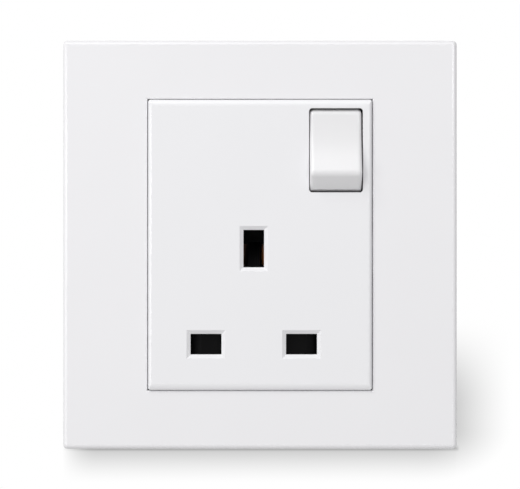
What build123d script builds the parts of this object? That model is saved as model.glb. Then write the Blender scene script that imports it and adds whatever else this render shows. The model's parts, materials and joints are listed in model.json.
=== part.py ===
from build123d import *
from math import cos, radians, sin, tan
import os

os.makedirs("parts", exist_ok=True)

# Frame: x to the right, z up, the wall plane at y = 0 and the front towards -y.
# Every height below is measured outwards from the wall plane, so it is minus y.

# How far a feature or a cut runs past the face that it meets
overrun = 0.2

# Outer frame
plate_width = 92.1
plate_height = 95.5
frame_height = 8.5
frame_wall = 2.0
frame_draft = 1.5
frame_corner_radius = 1.2
frame_edge_radius = 1.1
frame_window_radius = 0.35
frame_rim_wall = 1.3
frame_rim_foot = 1.6
rib_thickness = 1.0
rib_height = 2.6
notch_width = 8.0
notch_depth = 1.2
notch_height = 1.4

# Insert that carries the apertures and the switch
insert_width = 52.0
insert_height = 67.4
insert_proud = 1.0
insert_gap = 0.18
insert_front_wall = 2.0
insert_side_wall = 1.3
insert_corner_radius = 0.45
insert_side_radius = 0.85
insert_roll_width = 1.5
insert_roll_depth = 0.55

# Pins and their apertures
pin_axis_x = -1.45
live_pin_z = -23.08
pin_pitch = 22.2
earth_rise = 22.2
live_pin_length = 17.7
earth_pin_length = 22.7
live_slot_width = 7.2
live_slot_height = 4.8
earth_slot_width = 4.8
earth_slot_height = 8.7
slot_bevel_width = 0.9
slot_bevel_depth = 0.7

# Rocker, in its own upright section: reach along its length, height out from the pivot
rocker_inset_x = 8.43
rocker_inset_z = 11.77
rocker_width = 12.0
rocker_side_gap = 0.23
rocker_float = 0.08
rocker_window_height = 19.5
rocker_window_bevel = 0.12
rocker_window_radius = 0.7
rocker_lip = 1.1
rocker_relief = 0.7
rocker_pocket = 0.6
rocker_half_throw = 14.0
rocker_pivot_depth = 6.0
rocker_nose_reach = 7.63
rocker_nose_height = 7.84
rocker_end_reach = 10.15
rocker_end_height = 3.3
rocker_end_skirt = 0.8
rocker_hub_reach = 3.6
rocker_skirt = 1.7
rocker_dish = 1.0
rocker_nose_radius = 1.5
rocker_edge_radius = 0.9
rocker_shell = 1.4
trunnion_radius = 1.2
trunnion_length = 1.2
trunnion_end_gap = 0.15
bearing_clearance = 0.04
cheek_thickness = 1.4
cheek_half_length = 5.0
rocker_boss_radius = 2.5
rocker_boss_reach = 1.6
rocker_web = 1.0
plunger_bore_roof = 0.4

# Plunger and contact arm
plunger_reach = 4.5
plunger_tip_radius = 1.3
plunger_radius = 1.55
plunger_top = 0.4
plunger_clearance = 0.08
plunger_neck = 1.0
plunger_neck_slope = 0.4
plunger_wire = 0.18
plunger_turns = 3
plunger_coil_play = 0.1
spring_float = 0.02
arm_ratio = 0.5
arm_flank_angle = 10.0
arm_thickness = 0.8
arm_inner_bend = 0.4
arm_half_length = 8.0
arm_width = 4.6
arm_tip_gap = 0.1
arm_pin_radius = 0.8
arm_pin_length = 1.7
arm_pin_root = 0.6
contact_reach = 6.4
contact_radius = 1.6
contact_thickness = 0.8
contact_gap = 0.1
contact_chamfer = 0.25
strip_thickness = 0.8
strip_bend = 0.8
hook_bend = 0.45
hook_wall_gap = 0.4
hook_play = 0.15
fixed_strip_margin = 0.5
fixed_strip_width = 5.0
cradle_ear_gap = 0.3
cradle_ear_half_length = 2.4
cradle_margin = 0.4
jog_gap = 1.2
jog_rise = 1.8

# Shutter
shutter_stroke = 5.5
shutter_front_gap = 0.3
shutter_thickness = 2.3
shutter_stem_width = 8.4
shutter_overlap = 0.75
flap_slope = 3.2
flap_fall = 1.0
shutter_window_width = 4.4
shutter_window_length = 10.6
ramp_width = 2.8
ramp_back = 0.8
ramp_lip = 0.6
ramp_block = 2.2
ramp_cover = 0.4
ramp_slot_side = 0.5
ramp_slot_run = 0.8
retainer_gap = 0.3
retainer_thickness = 1.2
retainer_overhang = 0.5
retainer_edge_gap = 0.6
retainer_slot_side = 0.2
retainer_slot_end = 0.5
shutter_wire = 0.2
shutter_coil = 0.85
shutter_turns = 4
spring_window_head = 0.4
spring_post_length = 1.8
spring_post_side_gap = 0.4
spring_post_foot_gap = 0.8
guide_length = 9.0
guide_thickness = 1.0
guide_gap = 0.3
guide_rise = 3.0
stake_radius = 1.3
stake_head = 0.8
stake_collar = 0.7
stake_fit = 0.05
stake_spread = 9.2
stake_rise = 4.0

# Clips, in their own section across the pin
clip_mouth = 6.4
clip_pinch = 3.8
clip_base = 6.4
clip_bend = 0.7
live_clip_knee = 3.0
live_clip_lead = 3.6
earth_clip_knee = 6.0
earth_clip_lead = 6.8
live_clip_width = 6.6
earth_clip_width = 5.1
earth_clip_drop = 1.45
live_clip_mouth_height = 2.0
earth_clip_mouth_height = 6.4
pin_tip_clearance = 0.8
strap_width = 6.0
strap_fold = 9.0
strap_leg = 3.6
strap_leg_gap = 0.4
strap_lap = 1.0
strap_bend_low = 6.0
strap_bend_high = 2.0
strap_slit_play = 0.1
link_width = 5.0
link_offset = 1.6
link_neck = 4.0
link_taper = 1.0
link_shoulder = 2.0
clip_margin = 0.2

# Terminals
terminal_width = 9.0
terminal_length = 10.0
terminal_depth = 8.6
wire_bore_radius = 2.5
wire_bore_inset = 3.8
neutral_terminal_shift = 0.25
terminal_top_inset = 2.2
terminal_screw_radius = 1.9
terminal_head_radius = 3.1
terminal_head_height = 2.0
terminal_screw_standoff = 0.9
terminal_chamfer = 0.5
terminal_tip_gap = 0.2
terminal_head_chamfer = 0.4
terminal_slot_width = 0.9
terminal_slot_depth = 1.0

# Bracket and its fixings
bracket_thickness = 1.2
bracket_edge_gap = 3.6
bracket_corner_radius = 4.0
lightening_length = 10.0
lightening_width = 3.2
lightening_inset = 4.5
lightening_rise = 29.5
fixing_pitch = 60.3
fixing_slot_radius = 2.0
fixing_slot_length = 7.0
fixing_head_radius = 4.4
latch_x = 21.0
latch_width = 9.0
latch_height = 4.6
latch_window_height = 2.0
latch_leg_thickness = 1.4
latch_nub = 0.9
latch_gap = 0.25
latch_margin = 0.8
latch_play = 0.2
latch_drop = 1.1
nub_back = 0.2
nub_crest = 0.3
nub_lead = 1.0
nub_window_gap = 0.1
bracket_play = 0.1

# Rear housing
housing_inset = 0.3
housing_depth = 19.5
housing_wall = 1.8
housing_floor_wall = 1.6
housing_corner_radius = 3.0
housing_edge_radius = 1.0
barrier_thickness = 1.2
bay_clearance = 0.2
bay_foot_z = 19.0
housing_screw_radius = 1.45
housing_head_radius = 2.7
housing_head_height = 1.8
housing_screw_length = 12.0
housing_head_chamfer = 0.5
housing_head_crown = 0.8
recess_length = 2.8
recess_width = 0.6
recess_depth = 1.0
screw_fit = 0.02
screw_clearance = 0.15
pilot_runout = 0.4
well_gap = 0.3
boss_radius = 2.7
post_wall = 1.0
low_screw_gap = 0.3
low_screw_inset = 3.2
high_screw_gap = 0.5
high_screw_inset = 3.4
side_screw_gap = 0.93
side_screw_z = 6.0

# Derived heights, front to back
face = frame_height + insert_proud
insert_back = face - insert_front_wall
pivot = face - rocker_pivot_depth
shutter_front = insert_back - shutter_front_gap
shutter_rear = shutter_front - shutter_thickness
retainer_front = shutter_rear - retainer_gap
retainer_rear = retainer_front - retainer_thickness

tip_lift = (plunger_tip_radius + arm_tip_gap - arm_inner_bend) / cos(radians(arm_flank_angle))
arm_pivot = pivot - plunger_reach - tip_lift
arm_tilt = rocker_half_throw * arm_ratio
arm_outer_bend = arm_inner_bend + arm_thickness

# Where the back of the arm's contact button comes to rest when the switch is closed
closed_slope = radians(arm_flank_angle - arm_tilt)
closed_contact = arm_outer_bend + contact_thickness - contact_reach * sin(closed_slope)
fixed_contact_front = arm_pivot - closed_contact / cos(closed_slope) - contact_gap
strip_front = fixed_contact_front - contact_thickness
floor_front = strip_front - strip_thickness
floor_rear = floor_front - housing_floor_wall
strap_rear = floor_rear - strip_thickness
terminal_rear = strap_rear - terminal_depth
wire_bore_height = strap_rear - wire_bore_inset

live_tip = face - live_pin_length
earth_tip = face - earth_pin_length
live_base = live_tip - pin_tip_clearance
earth_base = earth_tip - pin_tip_clearance - strip_thickness
link_front = live_base - strip_thickness

# Derived places across the plate
line_x = pin_axis_x + pin_pitch / 2
neutral_x = pin_axis_x - pin_pitch / 2
earth_z = live_pin_z + earth_rise
earth_clip_z = earth_z - earth_clip_drop
neutral_terminal_x = neutral_x - neutral_terminal_shift
rocker_x = insert_width / 2 - rocker_inset_x
rocker_z = insert_height / 2 - rocker_inset_z
window_x = rocker_x + rocker_float
link_right = rocker_x - link_offset
cavity_width = insert_width - 2 * insert_side_wall
cavity_height = insert_height - 2 * insert_side_wall
frame_window_width = insert_width + 2 * insert_gap
frame_window_height = insert_height + 2 * insert_gap
rocker_window_width = rocker_width + 2 * rocker_side_gap
bracket_width = plate_width - 2 * (frame_wall + bracket_edge_gap)
bracket_height = plate_height - 2 * (frame_wall + bracket_edge_gap)
housing_width = insert_width - 2 * housing_inset
housing_height = insert_height - 2 * housing_inset
housing_inner_width = housing_width - 2 * housing_wall
housing_inner_height = housing_height - 2 * housing_wall
housing_top = housing_height / 2
cell_top = bay_foot_z - housing_wall
cell_bottom = -housing_inner_height / 2
terminal_top = housing_top - terminal_top_inset
terminal_z = terminal_top - terminal_length / 2
terminal_places = [(neutral_terminal_x, terminal_z), (pin_axis_x, terminal_z), (rocker_x, terminal_z)]
screw_seat = floor_rear
screw_tip = screw_seat + housing_screw_length
flap_top = live_pin_z + live_slot_height / 2 + shutter_overlap
flap_bottom = live_pin_z - live_slot_height / 2 - shutter_overlap
flap_reach = (pin_pitch + live_slot_width) / 2 + shutter_overlap
retainer_half_width = flap_reach + retainer_overhang
ramp_top = earth_z - earth_slot_height / 2 + shutter_stroke + ramp_cover
ramp_foot = ramp_top - shutter_front + ramp_back + ramp_lip
spring_top = ramp_foot - ramp_block - spring_window_head
spring_seat = spring_top - shutter_window_length + spring_post_length + spring_post_foot_gap
stake_z = spring_seat + stake_rise

# Housing screws: two beside the retainer, one beside the neutral bay, one beside the link strip
bay_half = terminal_width / 2 + bay_clearance + barrier_thickness / 2
well_radius = housing_head_radius + well_gap
low_screw_x = retainer_half_width + abs(pin_axis_x) + low_screw_gap + boss_radius
low_screw_z = low_screw_inset - housing_inner_height / 2
high_screw_x = neutral_terminal_x - bay_half - barrier_thickness / 2 - high_screw_gap - housing_head_radius
high_screw_z = housing_inner_height / 2 - high_screw_inset
side_screw_x = link_right + side_screw_gap + well_radius + post_wall
screw_places = [
    (-low_screw_x, low_screw_z),
    (low_screw_x, low_screw_z),
    (high_screw_x, high_screw_z),
    (side_screw_x, side_screw_z),
]


def level(height):
    """Sketch plane parallel to the wall, at a height; sketch axes are x and z."""
    return Plane.XZ.offset(height)


def section(x):
    """Upright section plane facing +x; sketch axes are z and height."""
    return Plane(origin=(x, 0, 0), x_dir=(0, 0, 1), z_dir=(1, 0, 0))


def cross_section(z):
    """Level section plane; sketch axes are x and height."""
    return Plane(origin=(0, 0, z), x_dir=(1, 0, 0), z_dir=(0, 0, -1))


def tilted(height, angle):
    """Section plane through the switch centre, its top leaning back by an angle."""
    lean = radians(angle)
    return Plane(origin=(rocker_x, -height, rocker_z), x_dir=(0, sin(lean), cos(lean)), z_dir=(1, 0, 0))


rocker_section = tilted(pivot, rocker_half_throw)
arm_section = tilted(arm_pivot, -arm_tilt)
rocker_deck = Plane(origin=rocker_section.origin, x_dir=(1, 0, 0), z_dir=rocker_section.y_dir)


# Cover frame: drafted hollow moulding with a rim round its window
with BuildPart() as cover_frame:
    with BuildSketch(level(0)):
        RectangleRounded(plate_width, plate_height, frame_corner_radius)
    extrude(amount=frame_height, taper=frame_draft)
    fillet(cover_frame.faces().sort_by(Axis.Y)[0].edges(), frame_edge_radius)
    with BuildSketch(level(0)):
        Rectangle(plate_width - 2 * frame_wall, plate_height - 2 * frame_wall)
        Rectangle(
            frame_window_width + 2 * frame_rim_wall,
            frame_window_height + 2 * frame_rim_wall,
            mode=Mode.SUBTRACT,
        )
    extrude(amount=frame_height - frame_wall, mode=Mode.SUBTRACT)
    with BuildSketch(level(0)):
        Rectangle(frame_window_width, frame_window_height)
    extrude(amount=frame_height, mode=Mode.SUBTRACT)
    fillet(cover_frame.faces().sort_by(Axis.Y)[0].inner_wires()[0].edges(), frame_window_radius)
    # The rim stops short of the bracket and opens round the heads of the wall screws
    with BuildSketch(level(0)):
        Rectangle(
            frame_window_width + 2 * frame_rim_wall + overrun,
            frame_window_height + 2 * frame_rim_wall + overrun,
        )
    extrude(amount=frame_rim_foot, mode=Mode.SUBTRACT)
    with BuildSketch(level(0)):
        with Locations((-fixing_pitch / 2, 0), (fixing_pitch / 2, 0)):
            Rectangle(2 * fixing_head_radius, 2 * fixing_head_radius)
    extrude(amount=frame_height - frame_wall, mode=Mode.SUBTRACT)
    # Stiffening ribs between the rim and the outer wall
    rib_root = frame_height - frame_wall - rib_height
    side_rib = (plate_width - frame_window_width) / 2 - frame_wall - frame_rim_wall
    end_rib = (plate_height - frame_window_height) / 2 - frame_wall - frame_rim_wall
    with BuildSketch(level(rib_root)):
        with GridLocations(
            frame_window_width + 2 * frame_rim_wall + side_rib, plate_height / 2, 2, 2
        ):
            Rectangle(side_rib + 2 * overrun, rib_thickness)
        with GridLocations(
            plate_width / 3, frame_window_height + 2 * frame_rim_wall + end_rib, 2, 2
        ):
            Rectangle(rib_thickness, end_rib + 2 * overrun)
    extrude(amount=rib_height + overrun)
    # Four latch legs with inward nubs that enter the bracket's ears
    leg_inner = bracket_height / 2 + bracket_thickness + latch_gap
    leg_width = latch_width - 2 * latch_margin
    with BuildSketch(level(frame_rim_foot)):
        with GridLocations(2 * latch_x, 2 * leg_inner + latch_leg_thickness, 2, 2):
            Rectangle(leg_width, latch_leg_thickness)
    extrude(amount=frame_height - frame_wall - frame_rim_foot + overrun)
    nub_top = latch_height - latch_drop
    nub_foot = nub_top - nub_back - nub_crest - nub_lead
    with BuildSketch(section(0)) as nubs:
        with BuildLine():
            Polyline(
                (leg_inner + overrun, nub_top),
                (leg_inner, nub_top),
                (leg_inner - latch_nub, nub_top - nub_back),
                (leg_inner - latch_nub, nub_foot + nub_lead),
                (leg_inner, nub_foot),
                (leg_inner + overrun, nub_foot),
                close=True,
            )
        make_face()
        mirror(about=Plane.YZ)
    for nub_x in (-latch_x, latch_x):
        extrude(nubs.sketch.moved(Location((nub_x, 0, 0))), amount=leg_width / 2 - latch_play, both=True)
    # Notch under the bottom edge for prising the frame off
    with BuildSketch(level(0)):
        with Locations((0, -plate_height / 2)):
            Rectangle(notch_width, 2 * notch_depth)
    extrude(amount=notch_height, mode=Mode.SUBTRACT)

# Mounting bracket: plated sheet with slotted fixing holes and four turned-up ears
with BuildPart() as mounting_bracket:
    with BuildSketch(level(0)):
        RectangleRounded(bracket_width, bracket_height, bracket_corner_radius)
        Rectangle(cavity_width + 2 * bracket_play, cavity_height + 2 * bracket_play, mode=Mode.SUBTRACT)
        with GridLocations(fixing_pitch, 0, 2, 1):
            SlotOverall(fixing_slot_length, 2 * fixing_slot_radius, mode=Mode.SUBTRACT)
        with GridLocations(bracket_width - 2 * lightening_inset, 2 * lightening_rise, 2, 2):
            SlotOverall(lightening_length, lightening_width, rotation=90, mode=Mode.SUBTRACT)
    extrude(amount=bracket_thickness)
    with BuildSketch(level(0)):
        with GridLocations(2 * latch_x, bracket_height + bracket_thickness, 2, 2):
            Rectangle(latch_width, bracket_thickness)
    extrude(amount=latch_height + bracket_thickness)
    with BuildSketch(level(nub_foot - nub_window_gap)):
        with GridLocations(2 * latch_x, bracket_height + bracket_thickness, 2, 2):
            Rectangle(leg_width, 2 * bracket_thickness)
    extrude(amount=latch_window_height, mode=Mode.SUBTRACT)

# Socket front: bevelled insert, hollow from behind
with BuildPart() as socket_front:
    with BuildSketch(section(0)):
        with BuildLine():
            half = insert_height / 2
            crown = Line((insert_roll_width - half, face), (half - insert_roll_width, face))
            upper_roll = TangentArc(crown @ 1, (half, face - insert_roll_depth), tangent=(1, 0))
            lower_roll = TangentArc(crown @ 0, (-half, face - insert_roll_depth), tangent=(-1, 0))
            Polyline(upper_roll @ 1, (half, bracket_thickness), (-half, bracket_thickness), lower_roll @ 1)
        make_face()
    extrude(amount=insert_width / 2, both=True)
    with BuildSketch(cross_section(0)) as insert_across:
        with Locations((0, (face + bracket_thickness) / 2)):
            Rectangle(insert_width, face - bracket_thickness)
        fillet(insert_across.vertices().group_by(Axis.Y)[-1], insert_side_radius)
    extrude(amount=insert_height / 2, both=True, mode=Mode.INTERSECT)
    fillet(socket_front.edges().filter_by(Axis.Y), insert_corner_radius)
    with BuildSketch(level(bracket_thickness)):
        Rectangle(cavity_width, cavity_height)
        with Locations((window_x, cavity_height / 2)):
            Rectangle(rocker_window_width, 2 * rocker_pocket)
    extrude(amount=insert_back - bracket_thickness, mode=Mode.SUBTRACT)
    # Cheeks that carry the rocker's trunnions
    cheek_x = (rocker_window_width + cheek_thickness) / 2
    with BuildSketch(level(bracket_thickness)):
        with Locations((window_x - cheek_x, rocker_z), (window_x + cheek_x, rocker_z)):
            Rectangle(cheek_thickness, 2 * cheek_half_length)
    extrude(amount=insert_back - bracket_thickness + overrun)
    # Bosses for the housing screws, reaching through the bracket
    with BuildSketch(level(0)):
        with Locations(*screw_places):
            Circle(boss_radius)
    extrude(amount=insert_back + overrun)
    # Shutter guides, spring post and two stakes for the retainer
    with BuildSketch(level(shutter_rear)):
        with Locations((pin_axis_x, spring_seat + guide_rise)):
            with GridLocations(shutter_stem_width + 2 * guide_gap + guide_thickness, 0, 2, 1):
                Rectangle(guide_thickness, guide_length)
        with Locations((pin_axis_x, spring_seat - spring_post_length / 2)):
            Rectangle(shutter_window_width - 2 * spring_post_side_gap, spring_post_length)
    extrude(amount=insert_back - shutter_rear + overrun)
    stakes = [(pin_axis_x - stake_spread, stake_z), (pin_axis_x + stake_spread, stake_z)]
    with BuildSketch(level(retainer_rear)):
        with Locations(*stakes):
            Circle(stake_radius)
    extrude(amount=insert_back - retainer_rear + overrun)
    with BuildSketch(level(retainer_rear)):
        with Locations(*stakes):
            Circle(stake_radius + stake_collar)
    extrude(amount=-stake_head)
    with BuildSketch(level(retainer_front)):
        with Locations(*stakes):
            Circle(stake_radius + stake_collar)
    extrude(amount=insert_back - retainer_front + overrun)
    # Pin apertures with bevelled mouths
    for slot_width, slot_height, places in (
        (live_slot_width, live_slot_height, [(neutral_x, live_pin_z), (line_x, live_pin_z)]),
        (earth_slot_width, earth_slot_height, [(pin_axis_x, earth_z)]),
    ):
        with BuildSketch(level(face - slot_bevel_depth)):
            with Locations(*places):
                Rectangle(slot_width, slot_height)
        extrude(amount=-insert_front_wall, mode=Mode.SUBTRACT)
        for place in places:
            with BuildSketch(level(face - slot_bevel_depth)):
                with Locations(place):
                    Rectangle(slot_width, slot_height)
            with BuildSketch(level(face)):
                with Locations(place):
                    Rectangle(slot_width + 2 * slot_bevel_width, slot_height + 2 * slot_bevel_width)
            loft(mode=Mode.SUBTRACT)
    # Switch window, relieved behind its lip, and the open-backed bearing slots behind it
    with BuildSketch(level(face)):
        with Locations((window_x, rocker_z)):
            RectangleRounded(rocker_window_width, rocker_window_height, rocker_window_radius)
    extrude(amount=-insert_front_wall - overrun, mode=Mode.SUBTRACT)
    with BuildSketch(level(face - rocker_lip)):
        with Locations((window_x, rocker_z)):
            Rectangle(rocker_window_width, rocker_window_height + 2 * rocker_relief)
    extrude(amount=-insert_front_wall, mode=Mode.SUBTRACT)
    window_lip = socket_front.faces().sort_by(Axis.Y)[0].inner_wires()
    chamfer(window_lip.sort_by(SortBy.LENGTH)[-1].edges(), rocker_window_bevel)
    bearing_radius = trunnion_radius + bearing_clearance
    bearing_span = rocker_width / 2 + trunnion_length + trunnion_end_gap
    with BuildSketch(section(rocker_x)):
        with Locations((rocker_z, pivot)):
            Circle(bearing_radius)
        with Locations((rocker_z, pivot / 2)):
            Rectangle(2 * bearing_radius, pivot)
    extrude(amount=bearing_span, both=True, mode=Mode.SUBTRACT)
    # Pilot holes for the housing screws
    with BuildSketch(level(0)):
        with Locations(*screw_places):
            Circle(housing_screw_radius + screw_fit)
    extrude(amount=screw_tip + pilot_runout, mode=Mode.SUBTRACT)

# Rocker, at rest with its bottom end standing out
with BuildPart() as rocker:
    with BuildSketch(rocker_section) as rocker_profile:
        with BuildLine():
            crest = Polyline(
                (rocker_nose_reach, rocker_nose_height),
                (rocker_end_reach, rocker_end_height),
                (rocker_end_reach, rocker_end_skirt),
                (rocker_hub_reach, -rocker_skirt),
                (-rocker_hub_reach, -rocker_skirt),
                (-rocker_end_reach, rocker_end_skirt),
                (-rocker_end_reach, rocker_end_height),
                (-rocker_nose_reach, rocker_nose_height),
            )
            ThreePointArc(crest @ 1, (0, rocker_nose_height - rocker_dish), crest @ 0)
        make_face()
        fillet(rocker_profile.vertices().group_by(Axis.Y)[-1], rocker_nose_radius)
    extrude(amount=rocker_width / 2, both=True)
    rim = rocker.faces().filter_by(Axis.X).edges()
    front_rim = rim.filter_by(lambda edge: rocker_deck.to_local_coords(edge @ 0.5).Z > rocker_end_height)
    fillet(front_rim, rocker_edge_radius)
    # Hollow, open behind
    with BuildSketch(rocker_section):
        add(rocker_profile.sketch)
        offset(amount=-rocker_shell, kind=Kind.INTERSECTION)
        with Locations((0, rocker_end_skirt + rocker_shell)):
            Rectangle(
                2 * (rocker_end_reach - rocker_shell),
                rocker_end_skirt + rocker_shell + rocker_skirt,
                align=(Align.CENTER, Align.MAX),
            )
    extrude(amount=rocker_width / 2 - rocker_shell, both=True, mode=Mode.SUBTRACT)
    # Trunnions and the plunger boss
    with BuildSketch(rocker_section.offset(rocker_width / 2)):
        Circle(trunnion_radius)
    extrude(amount=trunnion_length)
    with BuildSketch(rocker_section.offset(-rocker_width / 2)):
        Circle(trunnion_radius)
    extrude(amount=-trunnion_length)
    boss_top = rocker_nose_height - rocker_dish - rocker_shell / 2
    with BuildSketch(rocker_deck.offset(-rocker_boss_reach)):
        Circle(rocker_boss_radius)
        Rectangle(rocker_width - rocker_shell, rocker_web)
    extrude(amount=rocker_boss_reach + boss_top)
    bore_end = boss_top - rocker_shell / 2 - plunger_bore_roof
    with BuildSketch(rocker_deck.offset(-rocker_boss_reach)):
        Circle(plunger_radius + plunger_clearance)
    extrude(amount=rocker_boss_reach + bore_end, mode=Mode.SUBTRACT)

# Plunger: headed pin with a ball tip that bears on the contact arm
with BuildPart() as plunger:
    with BuildSketch(rocker_section):
        with BuildLine():
            body = Polyline(
                (0, plunger_top),
                (plunger_radius, plunger_top),
                (plunger_radius, plunger_neck - plunger_reach),
                (plunger_tip_radius, plunger_neck - plunger_neck_slope - plunger_reach),
                (plunger_tip_radius, -plunger_reach),
            )
            tip = JernArc(body @ 1, (0, -1), plunger_tip_radius, -90)
            Line(tip @ 1, body @ 0)
        make_face()
    revolve(axis=Axis(rocker_section.origin, rocker_section.y_dir))

# Plunger spring, in the bore behind the plunger
plunger_coil = plunger_radius - plunger_wire - plunger_coil_play
plunger_spring_length = bore_end - plunger_top - 2 * (plunger_wire + spring_float)
spring_foot = rocker_section.from_local_coords((0, plunger_top + plunger_wire + spring_float, 0))
with BuildPart() as plunger_spring:
    with BuildLine() as plunger_helix:
        plunger_pitch = plunger_spring_length / plunger_turns
        Helix(plunger_pitch, plunger_spring_length, plunger_coil, spring_foot, rocker_section.y_dir)
    with BuildSketch(plunger_helix.line ^ 0):
        RegularPolygon(plunger_wire, 6)
    sweep(path=plunger_helix.line, is_frenet=True)

# Contact arm: strip bent to a shallow trough, with a pivot pin at each side
with BuildPart() as switch_arm:
    arm_bend = arm_inner_bend + arm_thickness / 2
    flank = radians(arm_flank_angle)
    arm_low = -arm_bend / cos(flank)
    arm_high = arm_low + arm_half_length * tan(flank)
    with BuildSketch(arm_section):
        with BuildLine():
            FilletPolyline(
                (-arm_half_length, arm_high), (0, arm_low), (arm_half_length, arm_high), radius=arm_bend
            )
        trace(line_width=arm_thickness)
    extrude(amount=arm_width / 2, both=True)
    for side in (-1, 1):
        with BuildSketch(arm_section.offset(side * (arm_width / 2 - arm_pin_root))):
            Circle(arm_pin_radius)
        extrude(amount=side * (arm_pin_length + arm_pin_root))

# Silver button riveted to the back of the arm
flank_point = arm_section.from_local_coords(
    (
        contact_reach * cos(flank) + arm_outer_bend * sin(flank),
        contact_reach * sin(flank) - arm_outer_bend * cos(flank),
        0,
    )
)
flank_back = arm_section.from_local_coords((sin(flank), -cos(flank), 0)) - arm_section.origin
with BuildPart() as moving_contact:
    with BuildSketch(Plane(origin=flank_point, x_dir=(1, 0, 0), z_dir=flank_back)):
        Circle(contact_radius)
    extrude(amount=contact_thickness)
    chamfer(moving_contact.edges().sort_by(Axis.Y)[-1], contact_chamfer)

# Fixed contact strip: lies on the housing floor, hooks round its edge, ends under the line terminal
button_offset = arm_outer_bend + contact_thickness
fixed_z = rocker_z + contact_reach * cos(closed_slope) + button_offset * sin(closed_slope)
hook_z = housing_inner_height / 2 - strip_thickness / 2 - hook_wall_gap
with BuildPart() as fixed_strip:
    with BuildSketch(section(rocker_x)):
        with BuildLine():
            FilletPolyline(
                (fixed_z - contact_radius - fixed_strip_margin, strip_front - strip_thickness / 2),
                (hook_z, strip_front - strip_thickness / 2),
                (hook_z, strap_rear + strip_thickness / 2),
                (terminal_z - terminal_length / 2, strap_rear + strip_thickness / 2),
                radius=hook_bend,
            )
        trace(line_width=strip_thickness)
    extrude(amount=fixed_strip_width / 2, both=True)

# Silver button on the fixed strip
with BuildPart() as fixed_contact:
    with BuildSketch(level(strip_front)):
        with Locations((rocker_x, fixed_z)):
            Circle(contact_radius)
    extrude(amount=contact_thickness)
    chamfer(fixed_contact.edges().sort_by(Axis.Y)[0], contact_chamfer)

# Cradle: strip jogged down from the switch to the line clip, with two notched ears for the arm's pins
link_left = line_x - live_clip_width / 2
with BuildPart() as switch_cradle:
    ear_inner = arm_width / 2 + cradle_ear_gap
    ear_outer = ear_inner + strip_thickness
    cradle_top = rocker_z + cradle_ear_half_length + cradle_margin
    jog_top = cell_top - jog_gap
    link_top = jog_top - link_neck
    link_bottom = live_pin_z - clip_base / 2 - clip_margin
    with BuildSketch(section(link_right)):
        with BuildLine():
            FilletPolyline(
                (cradle_top, strip_front - strip_thickness / 2),
                (jog_top, strip_front - strip_thickness / 2),
                (jog_top - jog_rise, link_front - strip_thickness / 2),
                (link_bottom, link_front - strip_thickness / 2),
                radius=strip_bend,
            )
        trace(line_width=strip_thickness)
    extrude(amount=link_right, both=True)
    with BuildSketch(level(strip_front)):
        with BuildLine():
            Polyline(
                (rocker_x + ear_outer, cradle_top),
                (rocker_x + ear_outer, link_top),
                (link_right, link_top - link_taper),
                (link_right, link_bottom),
                (link_left, link_bottom),
                (link_left, live_pin_z + clip_base / 2 + clip_margin),
                (link_right - link_width, live_pin_z + clip_base / 2 + clip_margin + link_shoulder),
                (link_right - link_width, link_top - link_taper),
                (rocker_x - ear_outer, link_top),
                (rocker_x - ear_outer, cradle_top),
                close=True,
            )
        make_face()
    extrude(amount=2 * link_front, mode=Mode.INTERSECT)
    ear_height = arm_pivot + arm_pin_radius - floor_front
    with BuildSketch(section(rocker_x)) as ear:
        with Locations((rocker_z, floor_front + ear_height / 2)):
            Rectangle(2 * cradle_ear_half_length, ear_height)
        with Locations((rocker_z, arm_pivot)):
            Circle(arm_pin_radius + bearing_clearance, mode=Mode.SUBTRACT)
        with Locations((rocker_z, arm_pivot + arm_pin_radius)):
            Rectangle(2 * (arm_pin_radius + bearing_clearance), 2 * arm_pin_radius, mode=Mode.SUBTRACT)
    extrude(ear.sketch.moved(Location((ear_inner, 0, 0))), amount=strip_thickness)
    extrude(ear.sketch.moved(Location((-ear_outer, 0, 0))), amount=strip_thickness)

# Line clip, riveted on the end of the link strip
with BuildPart() as line_clip:
    with BuildSketch(Plane(origin=(line_x, 0, live_pin_z), x_dir=(0, 0, 1), z_dir=(1, 0, 0))) as live_clip:
        with BuildLine():
            FilletPolyline(
                (0, live_base - strip_thickness / 2),
                (clip_base / 2, live_base - strip_thickness / 2),
                (clip_base / 2, live_base + live_clip_knee),
                (clip_pinch / 2, live_clip_mouth_height - live_clip_lead),
                (clip_mouth / 2, live_clip_mouth_height),
                radius=clip_bend,
            )
            mirror(about=Plane.YZ)
        trace(line_width=strip_thickness)
    extrude(amount=live_clip_width / 2, both=True)

# Neutral contact: the same clip with a strap up to its terminal
with BuildPart() as neutral_contact:
    neutral_clip = live_clip.sketch.moved(Location((neutral_x - line_x, 0, 0)))
    extrude(neutral_clip, amount=live_clip_width / 2, both=True)
    strap_mid = (neutral_x + neutral_terminal_x) / 2
    with BuildSketch(section(strap_mid)):
        with BuildLine():
            FilletPolyline(
                (live_pin_z - clip_base / 2 - clip_margin, link_front - strip_thickness / 2),
                (cell_top - strap_bend_low, link_front - strip_thickness / 2),
                (cell_top - strap_bend_high, strap_rear + strip_thickness / 2),
                (terminal_top, strap_rear + strip_thickness / 2),
                radius=strip_bend,
            )
        trace(line_width=strip_thickness)
    extrude(amount=strap_width / 2, both=True)

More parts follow.
